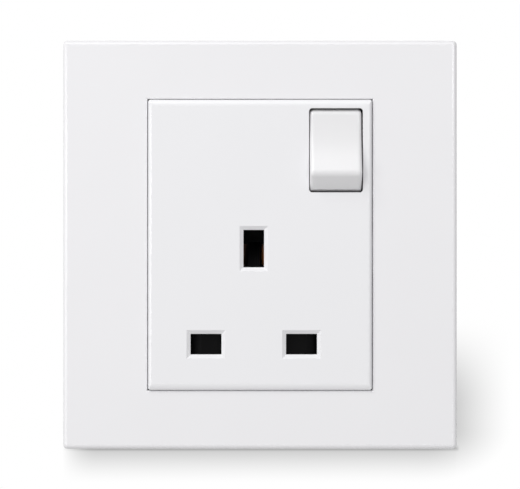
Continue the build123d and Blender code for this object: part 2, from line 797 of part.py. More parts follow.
# Earth contact: a leaf either side of the pin, the left one carried up on edge and folded to its terminal
with BuildPart() as earth_contact:
    with BuildSketch(Plane(origin=(pin_axis_x, 0, earth_clip_z), x_dir=(1, 0, 0), z_dir=(0, 0, -1))):
        with BuildLine():
            FilletPolyline(
                (0, earth_base + strip_thickness / 2),
                (clip_base / 2, earth_base + strip_thickness / 2),
                (clip_base / 2, earth_base + earth_clip_knee),
                (clip_pinch / 2, earth_clip_mouth_height - earth_clip_lead),
                (clip_mouth / 2, earth_clip_mouth_height),
                radius=clip_bend,
            )
            mirror(about=Plane.YZ)
        trace(line_width=strip_thickness)
    extrude(amount=earth_clip_width / 2, both=True)
    leg_x = pin_axis_x - clip_base / 2
    leg_top = cell_top - strap_leg_gap
    strap_middle = strap_rear + strip_thickness / 2
    with BuildSketch(section(leg_x)):
        with BuildLine():
            Polyline(
                (earth_clip_z, earth_base + strip_thickness + clip_bend),
                (earth_clip_z, earth_base + earth_clip_knee - clip_bend),
                (strap_fold, strap_middle - clip_bend),
                (leg_top, strap_middle - clip_bend),
                (leg_top, strap_middle - strap_leg),
                (strap_fold, strap_middle - strap_leg),
                close=True,
            )
        make_face()
    extrude(amount=strip_thickness / 2, both=True)
    with BuildSketch(cross_section(leg_top)):
        with BuildLine():
            FilletPolyline(
                (leg_x, strap_middle - strap_leg),
                (leg_x, strap_middle),
                (pin_axis_x + strap_width / 2, strap_middle),
                radius=clip_bend,
            )
        trace(line_width=strip_thickness)
    extrude(amount=leg_top - strap_fold)
    with BuildSketch(level(strap_rear)):
        with Locations((pin_axis_x, terminal_top)):
            Rectangle(strap_width, terminal_top - leg_top + strap_lap, align=(Align.CENTER, Align.MAX))
    extrude(amount=strip_thickness)

# Terminal blocks with a wire bore from above and a clamping screw from behind
terminals = []
for place in terminal_places:
    with BuildPart() as terminal:
        with BuildSketch(level(terminal_rear)):
            with Locations(place):
                Rectangle(terminal_width, terminal_length)
        extrude(amount=terminal_depth)
        chamfer(terminal.edges().filter_by(Axis.Y), terminal_chamfer)
        with BuildSketch(cross_section(terminal_top)):
            with Locations((place[0], wire_bore_height)):
                Circle(wire_bore_radius)
        extrude(amount=terminal_length, mode=Mode.SUBTRACT)
        with BuildSketch(level(terminal_rear)):
            with Locations(place):
                Circle(terminal_screw_radius + screw_fit)
        extrude(amount=terminal_depth - wire_bore_inset, mode=Mode.SUBTRACT)
    terminals.append(terminal)
neutral_terminal, earth_terminal, line_terminal = terminals

# Clamping screws, backed off so that the wire bores are clear
terminal_thread_tip = wire_bore_height - wire_bore_radius - terminal_tip_gap
terminal_head_seat = terminal_rear - terminal_screw_standoff
with BuildPart() as terminal_screws:
    with BuildSketch(level(terminal_head_seat)):
        with Locations(*terminal_places):
            Circle(terminal_screw_radius)
    extrude(amount=terminal_thread_tip - terminal_head_seat)
    with BuildSketch(level(terminal_head_seat)):
        with Locations(*terminal_places):
            Circle(terminal_head_radius)
    extrude(amount=-terminal_head_height)
    chamfer(terminal_screws.edges().group_by(Axis.Y)[-1], terminal_head_chamfer)
    with BuildSketch(level(terminal_head_seat - terminal_head_height)):
        with Locations(*terminal_places):
            Rectangle(2 * (terminal_head_radius + overrun), terminal_slot_width)
    extrude(amount=terminal_slot_depth, mode=Mode.SUBTRACT)

# Shutter: stem with an inclined ramp behind the earth aperture, a flap behind each live aperture
with BuildPart() as shutter:
    with BuildSketch(level(shutter_rear)):
        with Locations((pin_axis_x, (ramp_foot + flap_bottom) / 2)):
            Rectangle(shutter_stem_width, ramp_foot - flap_bottom)
        with Locations((pin_axis_x, (flap_top + flap_bottom) / 2)):
            Rectangle(2 * flap_reach, flap_top - flap_bottom)
        with Locations((pin_axis_x, spring_top - shutter_window_length / 2)):
            Rectangle(shutter_window_width, shutter_window_length, mode=Mode.SUBTRACT)
    extrude(amount=shutter_thickness)
    # The outer third of each flap falls away from the aperture
    with BuildSketch(cross_section(live_pin_z)):
        for side in (-1, 1):
            with BuildLine():
                Polyline(
                    (pin_axis_x + side * flap_reach, shutter_front),
                    (pin_axis_x + side * flap_reach, shutter_front - flap_fall),
                    (pin_axis_x + side * (flap_reach - flap_slope), shutter_front),
                    close=True,
                )
            make_face()
    extrude(amount=flap_top - flap_bottom, both=True, mode=Mode.SUBTRACT)
    with BuildSketch(section(pin_axis_x)):
        with BuildLine():
            Polyline(
                (ramp_foot - ramp_block, ramp_back),
                (ramp_top, ramp_back),
                (ramp_top, ramp_back + ramp_lip),
                (ramp_foot, shutter_front),
                (ramp_foot - ramp_block, shutter_front),
                close=True,
            )
        make_face()
    extrude(amount=ramp_width / 2, both=True)

# Shutter spring, between the post on the front and the top of the shutter's window
shutter_spring_length = spring_top - spring_seat - 2 * (shutter_wire + spring_float)
shutter_axis_height = (shutter_front + shutter_rear) / 2
with BuildPart() as shutter_spring:
    with BuildLine() as shutter_helix:
        Helix(
            shutter_spring_length / shutter_turns,
            shutter_spring_length,
            shutter_coil,
            (pin_axis_x, -shutter_axis_height, spring_seat + shutter_wire + spring_float),
            (0, 0, 1),
        )
    with BuildSketch(shutter_helix.line ^ 0):
        RegularPolygon(shutter_wire, 6)
    sweep(path=shutter_helix.line, is_frenet=True)

# Shutter retainer: plate staked behind the shutter
retainer_bottom = retainer_edge_gap - cavity_height / 2
with BuildPart() as shutter_retainer:
    with BuildSketch(level(retainer_rear)):
        with Locations((pin_axis_x, (ramp_foot + retainer_bottom) / 2)):
            Rectangle(2 * retainer_half_width, ramp_foot - retainer_bottom)
        with Locations((neutral_x, live_pin_z), (line_x, live_pin_z)):
            Rectangle(
                live_slot_width + 2 * retainer_slot_side,
                live_slot_height + 2 * retainer_slot_end,
                mode=Mode.SUBTRACT,
            )
        ramp_slot = shutter_stroke + ramp_block + ramp_slot_run
        with Locations((pin_axis_x, ramp_foot - ramp_slot / 2)):
            Rectangle(ramp_width + 2 * ramp_slot_side, ramp_slot, mode=Mode.SUBTRACT)
        with Locations(*stakes):
            Circle(stake_radius + stake_fit, mode=Mode.SUBTRACT)
    extrude(amount=retainer_thickness)

# Rear housing: deep cell for the clips, shallow cell for the switch, three terminal bays behind it
with BuildPart() as rear_housing:
    with BuildSketch(level(0)):
        RectangleRounded(housing_width, housing_height, housing_corner_radius)
    extrude(amount=-housing_depth)
    fillet(rear_housing.faces().sort_by(Axis.Y)[-1].edges(), housing_edge_radius)
    with BuildSketch(level(floor_rear)):
        with Locations((0, bay_foot_z)):
            Rectangle(
                housing_width + overrun, housing_top + overrun - bay_foot_z, align=(Align.CENTER, Align.MIN)
            )
    extrude(amount=-housing_depth, mode=Mode.SUBTRACT)
    with BuildSketch(level(0)):
        with Locations((0, (cell_top + cell_bottom) / 2)):
            Rectangle(housing_inner_width, cell_top - cell_bottom)
    extrude(amount=housing_wall - housing_depth, mode=Mode.SUBTRACT)
    with BuildSketch(level(0)):
        with Locations((0, housing_inner_height / 2)):
            Rectangle(
                housing_inner_width,
                housing_inner_height / 2 - cell_top + overrun,
                align=(Align.CENTER, Align.MAX),
            )
    extrude(amount=floor_front, mode=Mode.SUBTRACT)
    # Barriers either side of each terminal
    with BuildSketch(level(floor_rear)):
        for place in terminal_places:
            with Locations((place[0] - bay_half, housing_top), (place[0] + bay_half, housing_top)):
                Rectangle(
                    barrier_thickness, housing_top - bay_foot_z + overrun, align=(Align.CENTER, Align.MAX)
                )
    extrude(amount=-housing_depth - floor_rear)
    # Screw posts: solid inside the cells, bored and sunk from behind
    with BuildSketch(level(0)):
        with Locations(*[place for place in screw_places if place[1] < bay_foot_z]):
            Circle(well_radius + post_wall)
    extrude(amount=housing_wall / 2 - housing_depth)
    with BuildSketch(level(0)):
        with Locations(*screw_places):
            Circle(boss_radius)
    extrude(amount=floor_rear)
    with BuildSketch(level(0)):
        with Locations(*screw_places):
            Circle(housing_screw_radius + screw_clearance)
    extrude(amount=-housing_depth, mode=Mode.SUBTRACT)
    with BuildSketch(level(screw_seat)):
        with Locations(*screw_places):
            Circle(well_radius)
    extrude(amount=-housing_depth, mode=Mode.SUBTRACT)
    # Pedestals under the clips
    pedestal_root = housing_wall - housing_depth - overrun
    with BuildSketch(level(pedestal_root)):
        with Locations((line_x, live_pin_z), (neutral_x, live_pin_z)):
            Rectangle(live_clip_width, clip_base)
    extrude(amount=link_front - strip_thickness - pedestal_root)
    with BuildSketch(level(pedestal_root)):
        with Locations((pin_axis_x, earth_clip_z)):
            Rectangle(clip_base, earth_clip_width)
    extrude(amount=earth_base - pedestal_root)
    # Slits for the straps, and the slot that the fixed strip hooks through
    strap_slit = strip_thickness + 2 * strap_slit_play
    for place_x in (strap_mid, pin_axis_x):
        with BuildSketch(section(place_x)):
            with Locations((bay_foot_z, strap_rear + strip_thickness / 2)):
                Rectangle(housing_wall + 2 * overrun, strap_slit, align=(Align.MAX, Align.CENTER))
        extrude(amount=strap_width / 2 + 2 * strap_slit_play, both=True, mode=Mode.SUBTRACT)
    with BuildSketch(section(rocker_x)):
        with Locations((hook_z, floor_front)):
            Rectangle(strip_thickness + 2 * hook_play, 2 * (housing_floor_wall + overrun))
    extrude(amount=fixed_strip_width / 2 + 2 * strap_slit_play, both=True, mode=Mode.SUBTRACT)

# Screws that hold the housing, the bracket and the front together
with BuildPart() as housing_screws:
    with BuildSketch(level(screw_seat)):
        with Locations(*screw_places):
            Circle(housing_screw_radius)
    extrude(amount=housing_screw_length)
    with BuildSketch(level(screw_seat)):
        with Locations(*screw_places):
            Circle(housing_head_radius)
    extrude(amount=-housing_head_height)
    chamfer(housing_screws.edges().group_by(Axis.Y)[-1], housing_head_chamfer, housing_head_crown)
    with BuildSketch(level(screw_seat - housing_head_height)):
        with Locations(*screw_places):
            Rectangle(recess_length, recess_width)
            Rectangle(recess_width, recess_length)
    extrude(amount=recess_depth, mode=Mode.SUBTRACT)

cover_frame.part.label = "cover_frame"
export_step(cover_frame.part, "parts/cover_frame.step")
mounting_bracket.part.label = "mounting_bracket"
export_step(mounting_bracket.part, "parts/mounting_bracket.step")
socket_front.part.label = "socket_front"
export_step(socket_front.part, "parts/socket_front.step")
rocker.part.label = "rocker"
export_step(rocker.part, "parts/rocker.step")
plunger.part.label = "plunger"
export_step(plunger.part, "parts/plunger.step")
plunger_spring.part.label = "plunger_spring"
export_step(plunger_spring.part, "parts/plunger_spring.step")
switch_arm.part.label = "switch_arm"
export_step(switch_arm.part, "parts/switch_arm.step")
moving_contact.part.label = "moving_contact"
export_step(moving_contact.part, "parts/moving_contact.step")
fixed_strip.part.label = "fixed_strip"
export_step(fixed_strip.part, "parts/fixed_strip.step")
fixed_contact.part.label = "fixed_contact"
export_step(fixed_contact.part, "parts/fixed_contact.step")
switch_cradle.part.label = "switch_cradle"
export_step(switch_cradle.part, "parts/switch_cradle.step")
line_clip.part.label = "line_clip"
export_step(line_clip.part, "parts/line_clip.step")
neutral_contact.part.label = "neutral_contact"
export_step(neutral_contact.part, "parts/neutral_contact.step")
earth_contact.part.label = "earth_contact"
export_step(earth_contact.part, "parts/earth_contact.step")
neutral_terminal.part.label = "neutral_terminal"
export_step(neutral_terminal.part, "parts/neutral_terminal.step")
earth_terminal.part.label = "earth_terminal"
export_step(earth_terminal.part, "parts/earth_terminal.step")
line_terminal.part.label = "line_terminal"
export_step(line_terminal.part, "parts/line_terminal.step")
terminal_screws.part.label = "terminal_screws"
export_step(terminal_screws.part, "parts/terminal_screws.step")
shutter.part.label = "shutter"
export_step(shutter.part, "parts/shutter.step")
shutter_spring.part.label = "shutter_spring"
export_step(shutter_spring.part, "parts/shutter_spring.step")
shutter_retainer.part.label = "shutter_retainer"
export_step(shutter_retainer.part, "parts/shutter_retainer.step")
rear_housing.part.label = "rear_housing"
export_step(rear_housing.part, "parts/rear_housing.step")
housing_screws.part.label = "housing_screws"
export_step(housing_screws.part, "parts/housing_screws.step")
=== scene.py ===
"""Looks of a switched wall socket: its finishes, its springs and screws, and the stage it is shown on."""
import json
import math

import bpy
import bmesh
from bpy.props import FloatProperty, FloatVectorProperty, PointerProperty
from mathutils import Matrix, Vector


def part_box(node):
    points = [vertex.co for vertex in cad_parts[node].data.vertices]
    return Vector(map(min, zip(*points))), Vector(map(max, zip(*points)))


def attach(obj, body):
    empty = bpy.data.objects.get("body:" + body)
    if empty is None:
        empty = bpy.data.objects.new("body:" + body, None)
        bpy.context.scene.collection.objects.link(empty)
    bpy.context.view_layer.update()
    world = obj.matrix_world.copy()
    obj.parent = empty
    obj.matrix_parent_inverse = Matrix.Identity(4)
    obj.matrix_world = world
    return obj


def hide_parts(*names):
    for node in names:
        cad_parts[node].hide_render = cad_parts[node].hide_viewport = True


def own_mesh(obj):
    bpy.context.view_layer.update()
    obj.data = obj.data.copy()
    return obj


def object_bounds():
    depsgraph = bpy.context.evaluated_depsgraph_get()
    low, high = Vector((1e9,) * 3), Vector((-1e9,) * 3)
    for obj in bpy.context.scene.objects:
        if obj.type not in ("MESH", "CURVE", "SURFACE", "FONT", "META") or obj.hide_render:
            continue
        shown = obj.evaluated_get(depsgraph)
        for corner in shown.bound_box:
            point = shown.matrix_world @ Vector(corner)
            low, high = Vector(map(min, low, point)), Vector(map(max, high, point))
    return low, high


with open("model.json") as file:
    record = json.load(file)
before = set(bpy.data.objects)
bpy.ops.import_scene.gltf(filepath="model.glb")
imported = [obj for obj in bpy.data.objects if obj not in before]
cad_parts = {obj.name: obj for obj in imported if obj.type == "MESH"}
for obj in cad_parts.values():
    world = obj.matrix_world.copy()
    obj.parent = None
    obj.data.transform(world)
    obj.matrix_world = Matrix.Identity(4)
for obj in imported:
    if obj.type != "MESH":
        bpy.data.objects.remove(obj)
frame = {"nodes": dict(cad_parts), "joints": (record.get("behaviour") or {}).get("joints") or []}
cad_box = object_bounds()

bl_info = {
    "name": "Switched Socket Looks",
    "version": (1, 0, 0),
    "blender": (4, 5, 0),
    "location": "3D View > Sidebar > Socket",
    "description": "Finishes, springs, screws and stage for a switched wall socket",
    "category": "Object",
}

BACK = Vector((0.0, 1.0, 0.0))
WHITE = (1.0, 1.0, 1.0, 1.0)
COLOUR = "NodeSocketColor"
VALUE = "NodeSocketFloat"
VECTOR = "NodeSocketVector"

# Range in which most noise values lie
NOISE_LOW = 0.3
NOISE_HIGH = 0.7

# Moulded polymer: scales of its clouds and specks, its refraction and how far its peel shows
CLOUD_SCALE = 55.0
SPECK_SCALE = 900.0
POLYMER_IOR = 1.58
PEEL_STRENGTH = 0.6

# Worked metal: scale of its tarnish and how far its streaks show
BLOOM_SCALE = 160.0
STREAK_STRENGTH = 0.5

# Ways that a metal is drawn or rolled: streaks along X and along Z
ALONG = (300.0, 2200.0, 2200.0)
UPRIGHT = (2600.0, 2600.0, 260.0)

# Painted shade in the pocket over the rocker, and the height of the insert's bridge over the rocker's window
POCKET_PAINTED_SHADE = (0.02, 0.02, 0.02)
BRIDGE = 0.0020

# Painted shadow on the wall: how far outside the plate it starts, and for each layer the input with
# its depth, its reach to the right and down, the power of its fall and the rounding of its corner
SHADOW_EDGE = 0.00065
SHADOW_LAYERS = (
    ("Depth", 0.0133, 0.0082, 1.4, 0.6),
    ("Contact", 0.0007, 0.0007, 1.0, 0.0),
)

# Springs: sides of their wire, steps in a turn, rise of a closed turn in wire radii, and the strokes
# of the slides that shorten them
WIRE_SIDES = 12
TURN_STEPS = 28
CLOSED_RISE = 2.1
WIRE_SMOOTHING = math.radians(50)

# Screws: sides of their heads, steps in a turn of thread, and along one turn the share of the way
# from root to crest with the rise in pitches
HEAD_SIDES = 64
THREAD_STEPS = 40
THREAD_PROFILE = ((0.0, 0.0), (0.0, 0.12), (1.0, 0.46), (1.0, 0.56), (0.0, 0.9), (0.0, 1.0))
SCREW_SMOOTHING = math.radians(35)

# Wall: its side, its border round an inset that is then fitted to the plate, and the grey that it throws back
WALL_SIDE = 1.2
WALL_BORDER = 0.55
WALL_BOUNCE = (0.06, 0.06, 0.06, 1.0)

# Rim lamps, whose light and side are properties, in their directions from the plate; the lamp behind
RIM_LAMPS = (
    ("rim_right", Vector((0.38, -0.91, 0.15)), "rim_right_size"),
    ("rim_near", Vector((-0.47, -0.88, 0.06)), "rim_near_size"),
    ("rim_left", Vector((-0.74, -0.67, 0.0)), "rim_size"),
    ("rim_top", Vector((0.0, -0.67, 0.74)), "rim_size"),
)
REAR_LAMP = Vector((0.35, 0.45, 0.40))
REAR_SIDE = 0.30

# Width of the camera's sensor, in millimetres
SENSOR = 36.0


def joint_axis(name):
    """Direction of a joint, as a unit vector."""
    for joint in frame["joints"]:
        if joint["name"] == name:
            return Vector(joint["axis"]).normalized()
    raise RuntimeError("no joint called " + name)


def node_box(name):
    """Lowest and highest corners of a CAD node, as vectors."""
    low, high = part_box(name)
    return Vector(low), Vector(high)


def node_islands(name, reach):
    """Boxes of a node's separate solids, whose middles lie more than a reach apart across the wall."""
    islands = []
    for vertex in frame["nodes"][name].data.vertices:
        place = vertex.co
        for low, high in islands:
            middle = (low + high) / 2
            if abs(place.x - middle.x) < reach and abs(place.z - middle.z) < reach:
                for axis in range(3):
                    low[axis] = min(low[axis], place[axis])
                    high[axis] = max(high[axis], place[axis])
                break
        else:
            islands.append((place.copy(), place.copy()))
    return islands


# Sizes and colours


class SocketFinish(bpy.types.PropertyGroup):
    """Colours of the mouldings and the metalwork."""

    frame_white: FloatVectorProperty(
        name="Frame white", description="Glossy outer frame",
        subtype="COLOR", size=3, min=0, max=1, default=(0.852, 0.846, 0.864),
    )
    insert_white: FloatVectorProperty(
        name="Insert white", description="Raised insert round the apertures",
        subtype="COLOR", size=3, min=0, max=1, default=(0.848, 0.846, 0.864),
    )
    rocker_white: FloatVectorProperty(
        name="Rocker white", description="Switch rocker",
        subtype="COLOR", size=3, min=0, max=1, default=(0.803, 0.799, 0.810),
    )
    housing_grey: FloatVectorProperty(
        name="Housing grey", description="Matt rear housing",
        subtype="COLOR", size=3, min=0, max=1, default=(0.040, 0.041, 0.044),
    )
    shutter_black: FloatVectorProperty(
        name="Shutter black", description="Shutter, its retainer and the plunger",
        subtype="COLOR", size=3, min=0, max=1, default=(0.0028, 0.0028, 0.0030),
    )
    bronze: FloatVectorProperty(
        name="Bronze", description="Contact strips and clips",
        subtype="COLOR", size=3, min=0, max=1, default=(0.72, 0.40, 0.17),
    )
    oxide: FloatVectorProperty(
        name="Oxide", description="Film on the earth clip",
        subtype="COLOR", size=3, min=0, max=1, default=(0.085, 0.048, 0.030),
    )
    # Colour painted on the earth clip's right leaf as a glint
    rubbed: FloatVectorProperty(
        name="Painted glint bronze", description="Bright leaf of the earth clip",
        subtype="COLOR", size=3, min=0, max=1, default=(1.0, 0.40, 0.13),
    )
    brass: FloatVectorProperty(
        name="Brass", description="Terminal blocks and their screws",
        subtype="COLOR", size=3, min=0, max=1, default=(0.80, 0.58, 0.26),
    )
    zinc: FloatVectorProperty(
        name="Zinc", description="Plated mounting bracket",
        subtype="COLOR", size=3, min=0, max=1, default=(0.66, 0.67, 0.69),
    )
    silver: FloatVectorProperty(
        name="Silver", description="Contact buttons",
        subtype="COLOR", size=3, min=0, max=1, default=(0.86, 0.84, 0.80),
    )
    steel: FloatVectorProperty(
        name="Steel", description="Housing screws and springs",
        subtype="COLOR", size=3, min=0, max=1, default=(0.58, 0.575, 0.56),
    )


class SocketSprings(bpy.types.PropertyGroup):
    """Coil springs of the shutter and the plunger."""

    shutter_wire: FloatProperty(
        name="Shutter wire", description="Wire radius of the shutter spring",
        unit="LENGTH", default=0.00018, min=0.00005,
    )
    shutter_turns: FloatProperty(
        name="Shutter turns", description="Open turns between the closed ends", default=6.0, min=1,
    )
    plunger_wire: FloatProperty(
        name="Plunger wire", description="Wire radius of the plunger spring",
        unit="LENGTH", default=0.00016, min=0.00005,
    )
    plunger_turns: FloatProperty(
        name="Plunger turns", description="Open turns between the closed ends", default=5.0, min=1,
    )


class SocketScrews(bpy.types.PropertyGroup):
    """Clamping screws of the terminals and screws of the rear housing."""

    terminal_shank: FloatProperty(
        name="Terminal thread", description="Crest radius of the clamping screws",
        unit="LENGTH", default=0.00188,
    )
    terminal_head: FloatProperty(
        name="Terminal head", description="Height of a clamping screw's head", unit="LENGTH", default=0.0020,
    )
    housing_shank: FloatProperty(
        name="Housing thread", description="Crest radius of the housing screws",
        unit="LENGTH", default=0.00143,
    )
    housing_head: FloatProperty(
        name="Housing head", description="Height of a housing screw's head", unit="LENGTH", default=0.0018,
    )
    terminal_pitch: FloatProperty(
        name="Terminal pitch", description="Thread pitch of the clamping screws",
        unit="LENGTH", default=0.0007,
    )
    housing_pitch: FloatProperty(
        name="Housing pitch", description="Thread pitch of the housing screws",
        unit="LENGTH", default=0.0011,
    )


class SocketStage(bpy.types.PropertyGroup):
    """Camera, lamps and backdrop."""

    camera_distance: FloatProperty(
        name="Camera distance", description="From the face of the insert", unit="LENGTH", default=0.40,
    )
    camera_side: FloatProperty(
        name="Camera side step", description="To the right of the plate's middle",
        unit="LENGTH", default=0.0,
    )
    camera_rise: FloatProperty(
        name="Camera rise", description="Above the plate's middle", unit="LENGTH", default=0.00008,
    )
    view_width: FloatProperty(
        name="View width", description="Width of the picture at the face of the insert",
        unit="LENGTH", default=0.1206,
    )
    sky: FloatProperty(name="Sky", description="Light from all round", default=0.518, min=0)
    key: FloatProperty(name="Key", description="Light of the key lamp at the plate", default=0.40, min=0)
    key_distance: FloatProperty(
        name="Key distance", description="From the key lamp to the plate", unit="LENGTH", default=0.95,
    )
    key_size: FloatProperty(
        name="Key size", description="Side of the key lamp", unit="LENGTH", default=0.546,
    )
    key_direction: FloatVectorProperty(
        name="Key direction", description="From the plate to the key lamp",
        subtype="DIRECTION", size=3, default=(-0.45, -0.57, 0.687),
    )
    rim_left: FloatProperty(
        name="Left rim", description="Light of the wide lamp at the left", default=0.13, min=0,
    )
    rim_near: FloatProperty(
        name="Near rim", description="Light of the small lamp at the left of the camera", default=0.05, min=0,
    )
    rim_top: FloatProperty(
        name="Top rim", description="Light of the wide lamp above", default=0.062, min=0,
    )
    rim_right: FloatProperty(
        name="Right rim", description="Light of the small lamp at the right of the camera",
        default=0.085, min=0,
    )
    rim_distance: FloatProperty(
        name="Rim distance", description="From the rim lamps to the plate", unit="LENGTH", default=0.80,
    )
    rim_size: FloatProperty(
        name="Rim size", description="Side of the two wide rim lamps", unit="LENGTH", default=0.29,
    )
    rim_near_size: FloatProperty(
        name="Near rim size", description="Side of the small lamp at the left", unit="LENGTH", default=0.06,
    )
    rim_right_size: FloatProperty(
        name="Right rim size", description="Side of the small lamp at the right", unit="LENGTH", default=0.04,
    )
    rear: FloatProperty(name="Rear", description="Light of the lamp behind", default=0.5, min=0)
    shadow_depth: FloatProperty(
        name="Shadow depth", description="Depth of the plate's shadow at its edge",
        default=0.41, min=0, max=1,
    )
    shadow_contact: FloatProperty(
        name="Contact shadow", description="Depth added close to the edge", default=0.25, min=0, max=1,
    )


# Shader nodes


def feed(tree, socket, value):
    """Sets a socket to a value, or links another socket to it."""
    if isinstance(value, bpy.types.NodeSocket):
        tree.links.new(value, socket)
    else:
        socket.default_value = value


def object_coords(tree):
    """Object coordinates of the surface."""
    return tree.nodes.new("ShaderNodeTexCoord").outputs["Object"]


def object_place(tree):
    """Object coordinates apart, as X, Y and Z."""
    parts = tree.nodes.new("ShaderNodeSeparateXYZ")
    feed(tree, parts.inputs[0], object_coords(tree))
    return parts.outputs


def noise(tree, scale, detail=3.0, roughness=0.5, distortion=0.0, coords=None):
    """Noise on Object coordinates, or on those that are given."""
    texture = tree.nodes.new("ShaderNodeTexNoise")
    feed(tree, texture.inputs["Vector"], object_coords(tree) if coords is None else coords)
    feed(tree, texture.inputs["Scale"], scale)
    feed(tree, texture.inputs["Detail"], detail)
    feed(tree, texture.inputs["Roughness"], roughness)
    feed(tree, texture.inputs["Distortion"], distortion)
    return texture.outputs["Fac"]


def spread(tree, value, low, high):
    """Maps a noise value about one half on to a range."""
    node = tree.nodes.new("ShaderNodeMapRange")
    feed(tree, node.inputs["Value"], value)
    feed(tree, node.inputs["From Min"], NOISE_LOW)
    feed(tree, node.inputs["From Max"], NOISE_HIGH)
    feed(tree, node.inputs["To Min"], low)
    feed(tree, node.inputs["To Max"], high)
    return node.outputs["Result"]


def ramp(tree, value, start, end, smooth=False):
    """Rises from 0 to 1 as a value goes from a start to an end."""
    node = tree.nodes.new("ShaderNodeMapRange")
    node.interpolation_type = "SMOOTHSTEP" if smooth else "LINEAR"
    feed(tree, node.inputs["Value"], value)
    feed(tree, node.inputs["From Min"], start)
    feed(tree, node.inputs["From Max"], end)
    return node.outputs["Result"]


def arithmetic(tree, operation, first, second=0.0):
    """One math node on two values or sockets."""
    node = tree.nodes.new("ShaderNodeMath")
    node.operation = operation
    feed(tree, node.inputs[0], first)
    feed(tree, node.inputs[1], second)
    return node.outputs[0]


def mix_colours(tree, share, first, second, blend="MIX"):
    """Mixes two colours by a share of the second."""
    node = tree.nodes.new("ShaderNodeMix")
    node.data_type = "RGBA"
    node.blend_type = blend
    feed(tree, node.inputs["Factor"], share)
    feed(tree, node.inputs["A"], first)
    feed(tree, node.inputs["B"], second)
    return node.outputs["Result"]


def mix_shaders(tree, share, first, second):
    """Mixes two shaders by a share of the second."""
    node = tree.nodes.new("ShaderNodeMixShader")
    for socket, value in zip(node.inputs, (share, first, second)):
        feed(tree, socket, value)
    return node.outputs[0]


# Shader groups


def new_group(name, inputs, outputs):
    """Shader node group with its sockets; returns the group, what it is given and what it puts out."""
    tree = bpy.data.node_groups.new(name, "ShaderNodeTree")
    for socket, kind, value in inputs:
        made = tree.interface.new_socket(name=socket, in_out="INPUT", socket_type=kind)
        made.default_value = value
    for socket, kind in outputs:
        tree.interface.new_socket(name=socket, in_out="OUTPUT", socket_type=kind)
    given = tree.nodes.new("NodeGroupInput").outputs
    result = tree.nodes.new("NodeGroupOutput").inputs
    return tree, given, result


def gloss_about(tree, value, given):
    """Roughness that strays with a noise value on either side of a group's gloss."""
    glossier = arithmetic(tree, "SUBTRACT", given["Gloss"], given["Gloss spread"])
    duller = arithmetic(tree, "ADD", given["Gloss"], given["Gloss spread"])
    return spread(tree, value, glossier, duller)


def moulded_skin_group():
    """Moulded polymer: slow cloudiness in its colour, specks in its gloss, fine peel in its surface."""
    tree, given, result = new_group(
        "moulded skin",
        [
            ("Colour", COLOUR, (0.8, 0.8, 0.8, 1.0)),
            ("Clouding", VALUE, 0.02),
            ("Gloss", VALUE, 0.3),
            ("Gloss spread", VALUE, 0.05),
            ("Peel scale", VALUE, 1500.0),
        ],
        [("Colour", COLOUR), ("Roughness", VALUE), ("Peel", VALUE)],
    )
    darker = arithmetic(tree, "SUBTRACT", 1.0, given["Clouding"])
    lighter = arithmetic(tree, "ADD", 1.0, given["Clouding"])
    clouds = spread(tree, noise(tree, CLOUD_SCALE, detail=2.0), darker, lighter)
    specks = noise(tree, SPECK_SCALE, detail=2.0)
    feed(tree, result["Colour"], mix_colours(tree, 1.0, given["Colour"], clouds, "MULTIPLY"))
    feed(tree, result["Roughness"], gloss_about(tree, specks, given))
    feed(tree, result["Peel"], noise(tree, given["Peel scale"], roughness=0.55))


def worked_metal_group():
    """Worked metal: streaks along one way, slow tarnish, and the height of the streaks."""
    tree, given, result = new_group(
        "worked metal",
        [
            ("Colour", COLOUR, (0.7, 0.7, 0.7, 1.0)),
            ("Tarnish", COLOUR, (0.5, 0.5, 0.5, 1.0)),
            ("Tarnish share", VALUE, 0.4),
            ("Gloss", VALUE, 0.3),
            ("Gloss spread", VALUE, 0.1),
            ("Streaks", VECTOR, (1.0, 1.0, 1.0)),
        ],
        [("Colour", COLOUR), ("Roughness", VALUE), ("Streak height", VALUE)],
    )
    drawn = tree.nodes.new("ShaderNodeVectorMath")
    drawn.operation = "MULTIPLY"
    feed(tree, drawn.inputs[0], object_coords(tree))
    feed(tree, drawn.inputs[1], given["Streaks"])
    streaks = noise(tree, 1.0, detail=4.0, roughness=0.6, coords=drawn.outputs[0])
    bloom = noise(tree, BLOOM_SCALE, detail=4.0, roughness=0.6, distortion=0.4)
    share = arithmetic(tree, "MULTIPLY", spread(tree, bloom, 0.0, 1.0), given["Tarnish share"])
    feed(tree, result["Colour"], mix_colours(tree, share, given["Colour"], given["Tarnish"]))
    feed(tree, result["Roughness"], gloss_about(tree, streaks, given))
    feed(tree, result["Streak height"], streaks)


def rubbed_leaf_group():
    """Share of painted glint on the earth clip: its right leaf is painted bright, most at its foot."""
    low, high = node_box("earth_contact")
    middle = (low.x + high.x) / 2
    leaf_width = 0.001
    glint_start, glint_full = 0.0002, -0.0036
    glint_mottle_scale = 1400.0
    tree, _, result = new_group("rubbed leaf", [], [("Share", VALUE)])
    place = object_place(tree)
    right = ramp(tree, place["X"], middle, middle + leaf_width)
    foot = ramp(tree, place["Z"], glint_start, glint_full)
    glint_mottle = spread(tree, noise(tree, glint_mottle_scale), 0.85, 1.0)
    share = arithmetic(tree, "MULTIPLY", right, arithmetic(tree, "MULTIPLY", foot, glint_mottle))
    feed(tree, result["Share"], share)


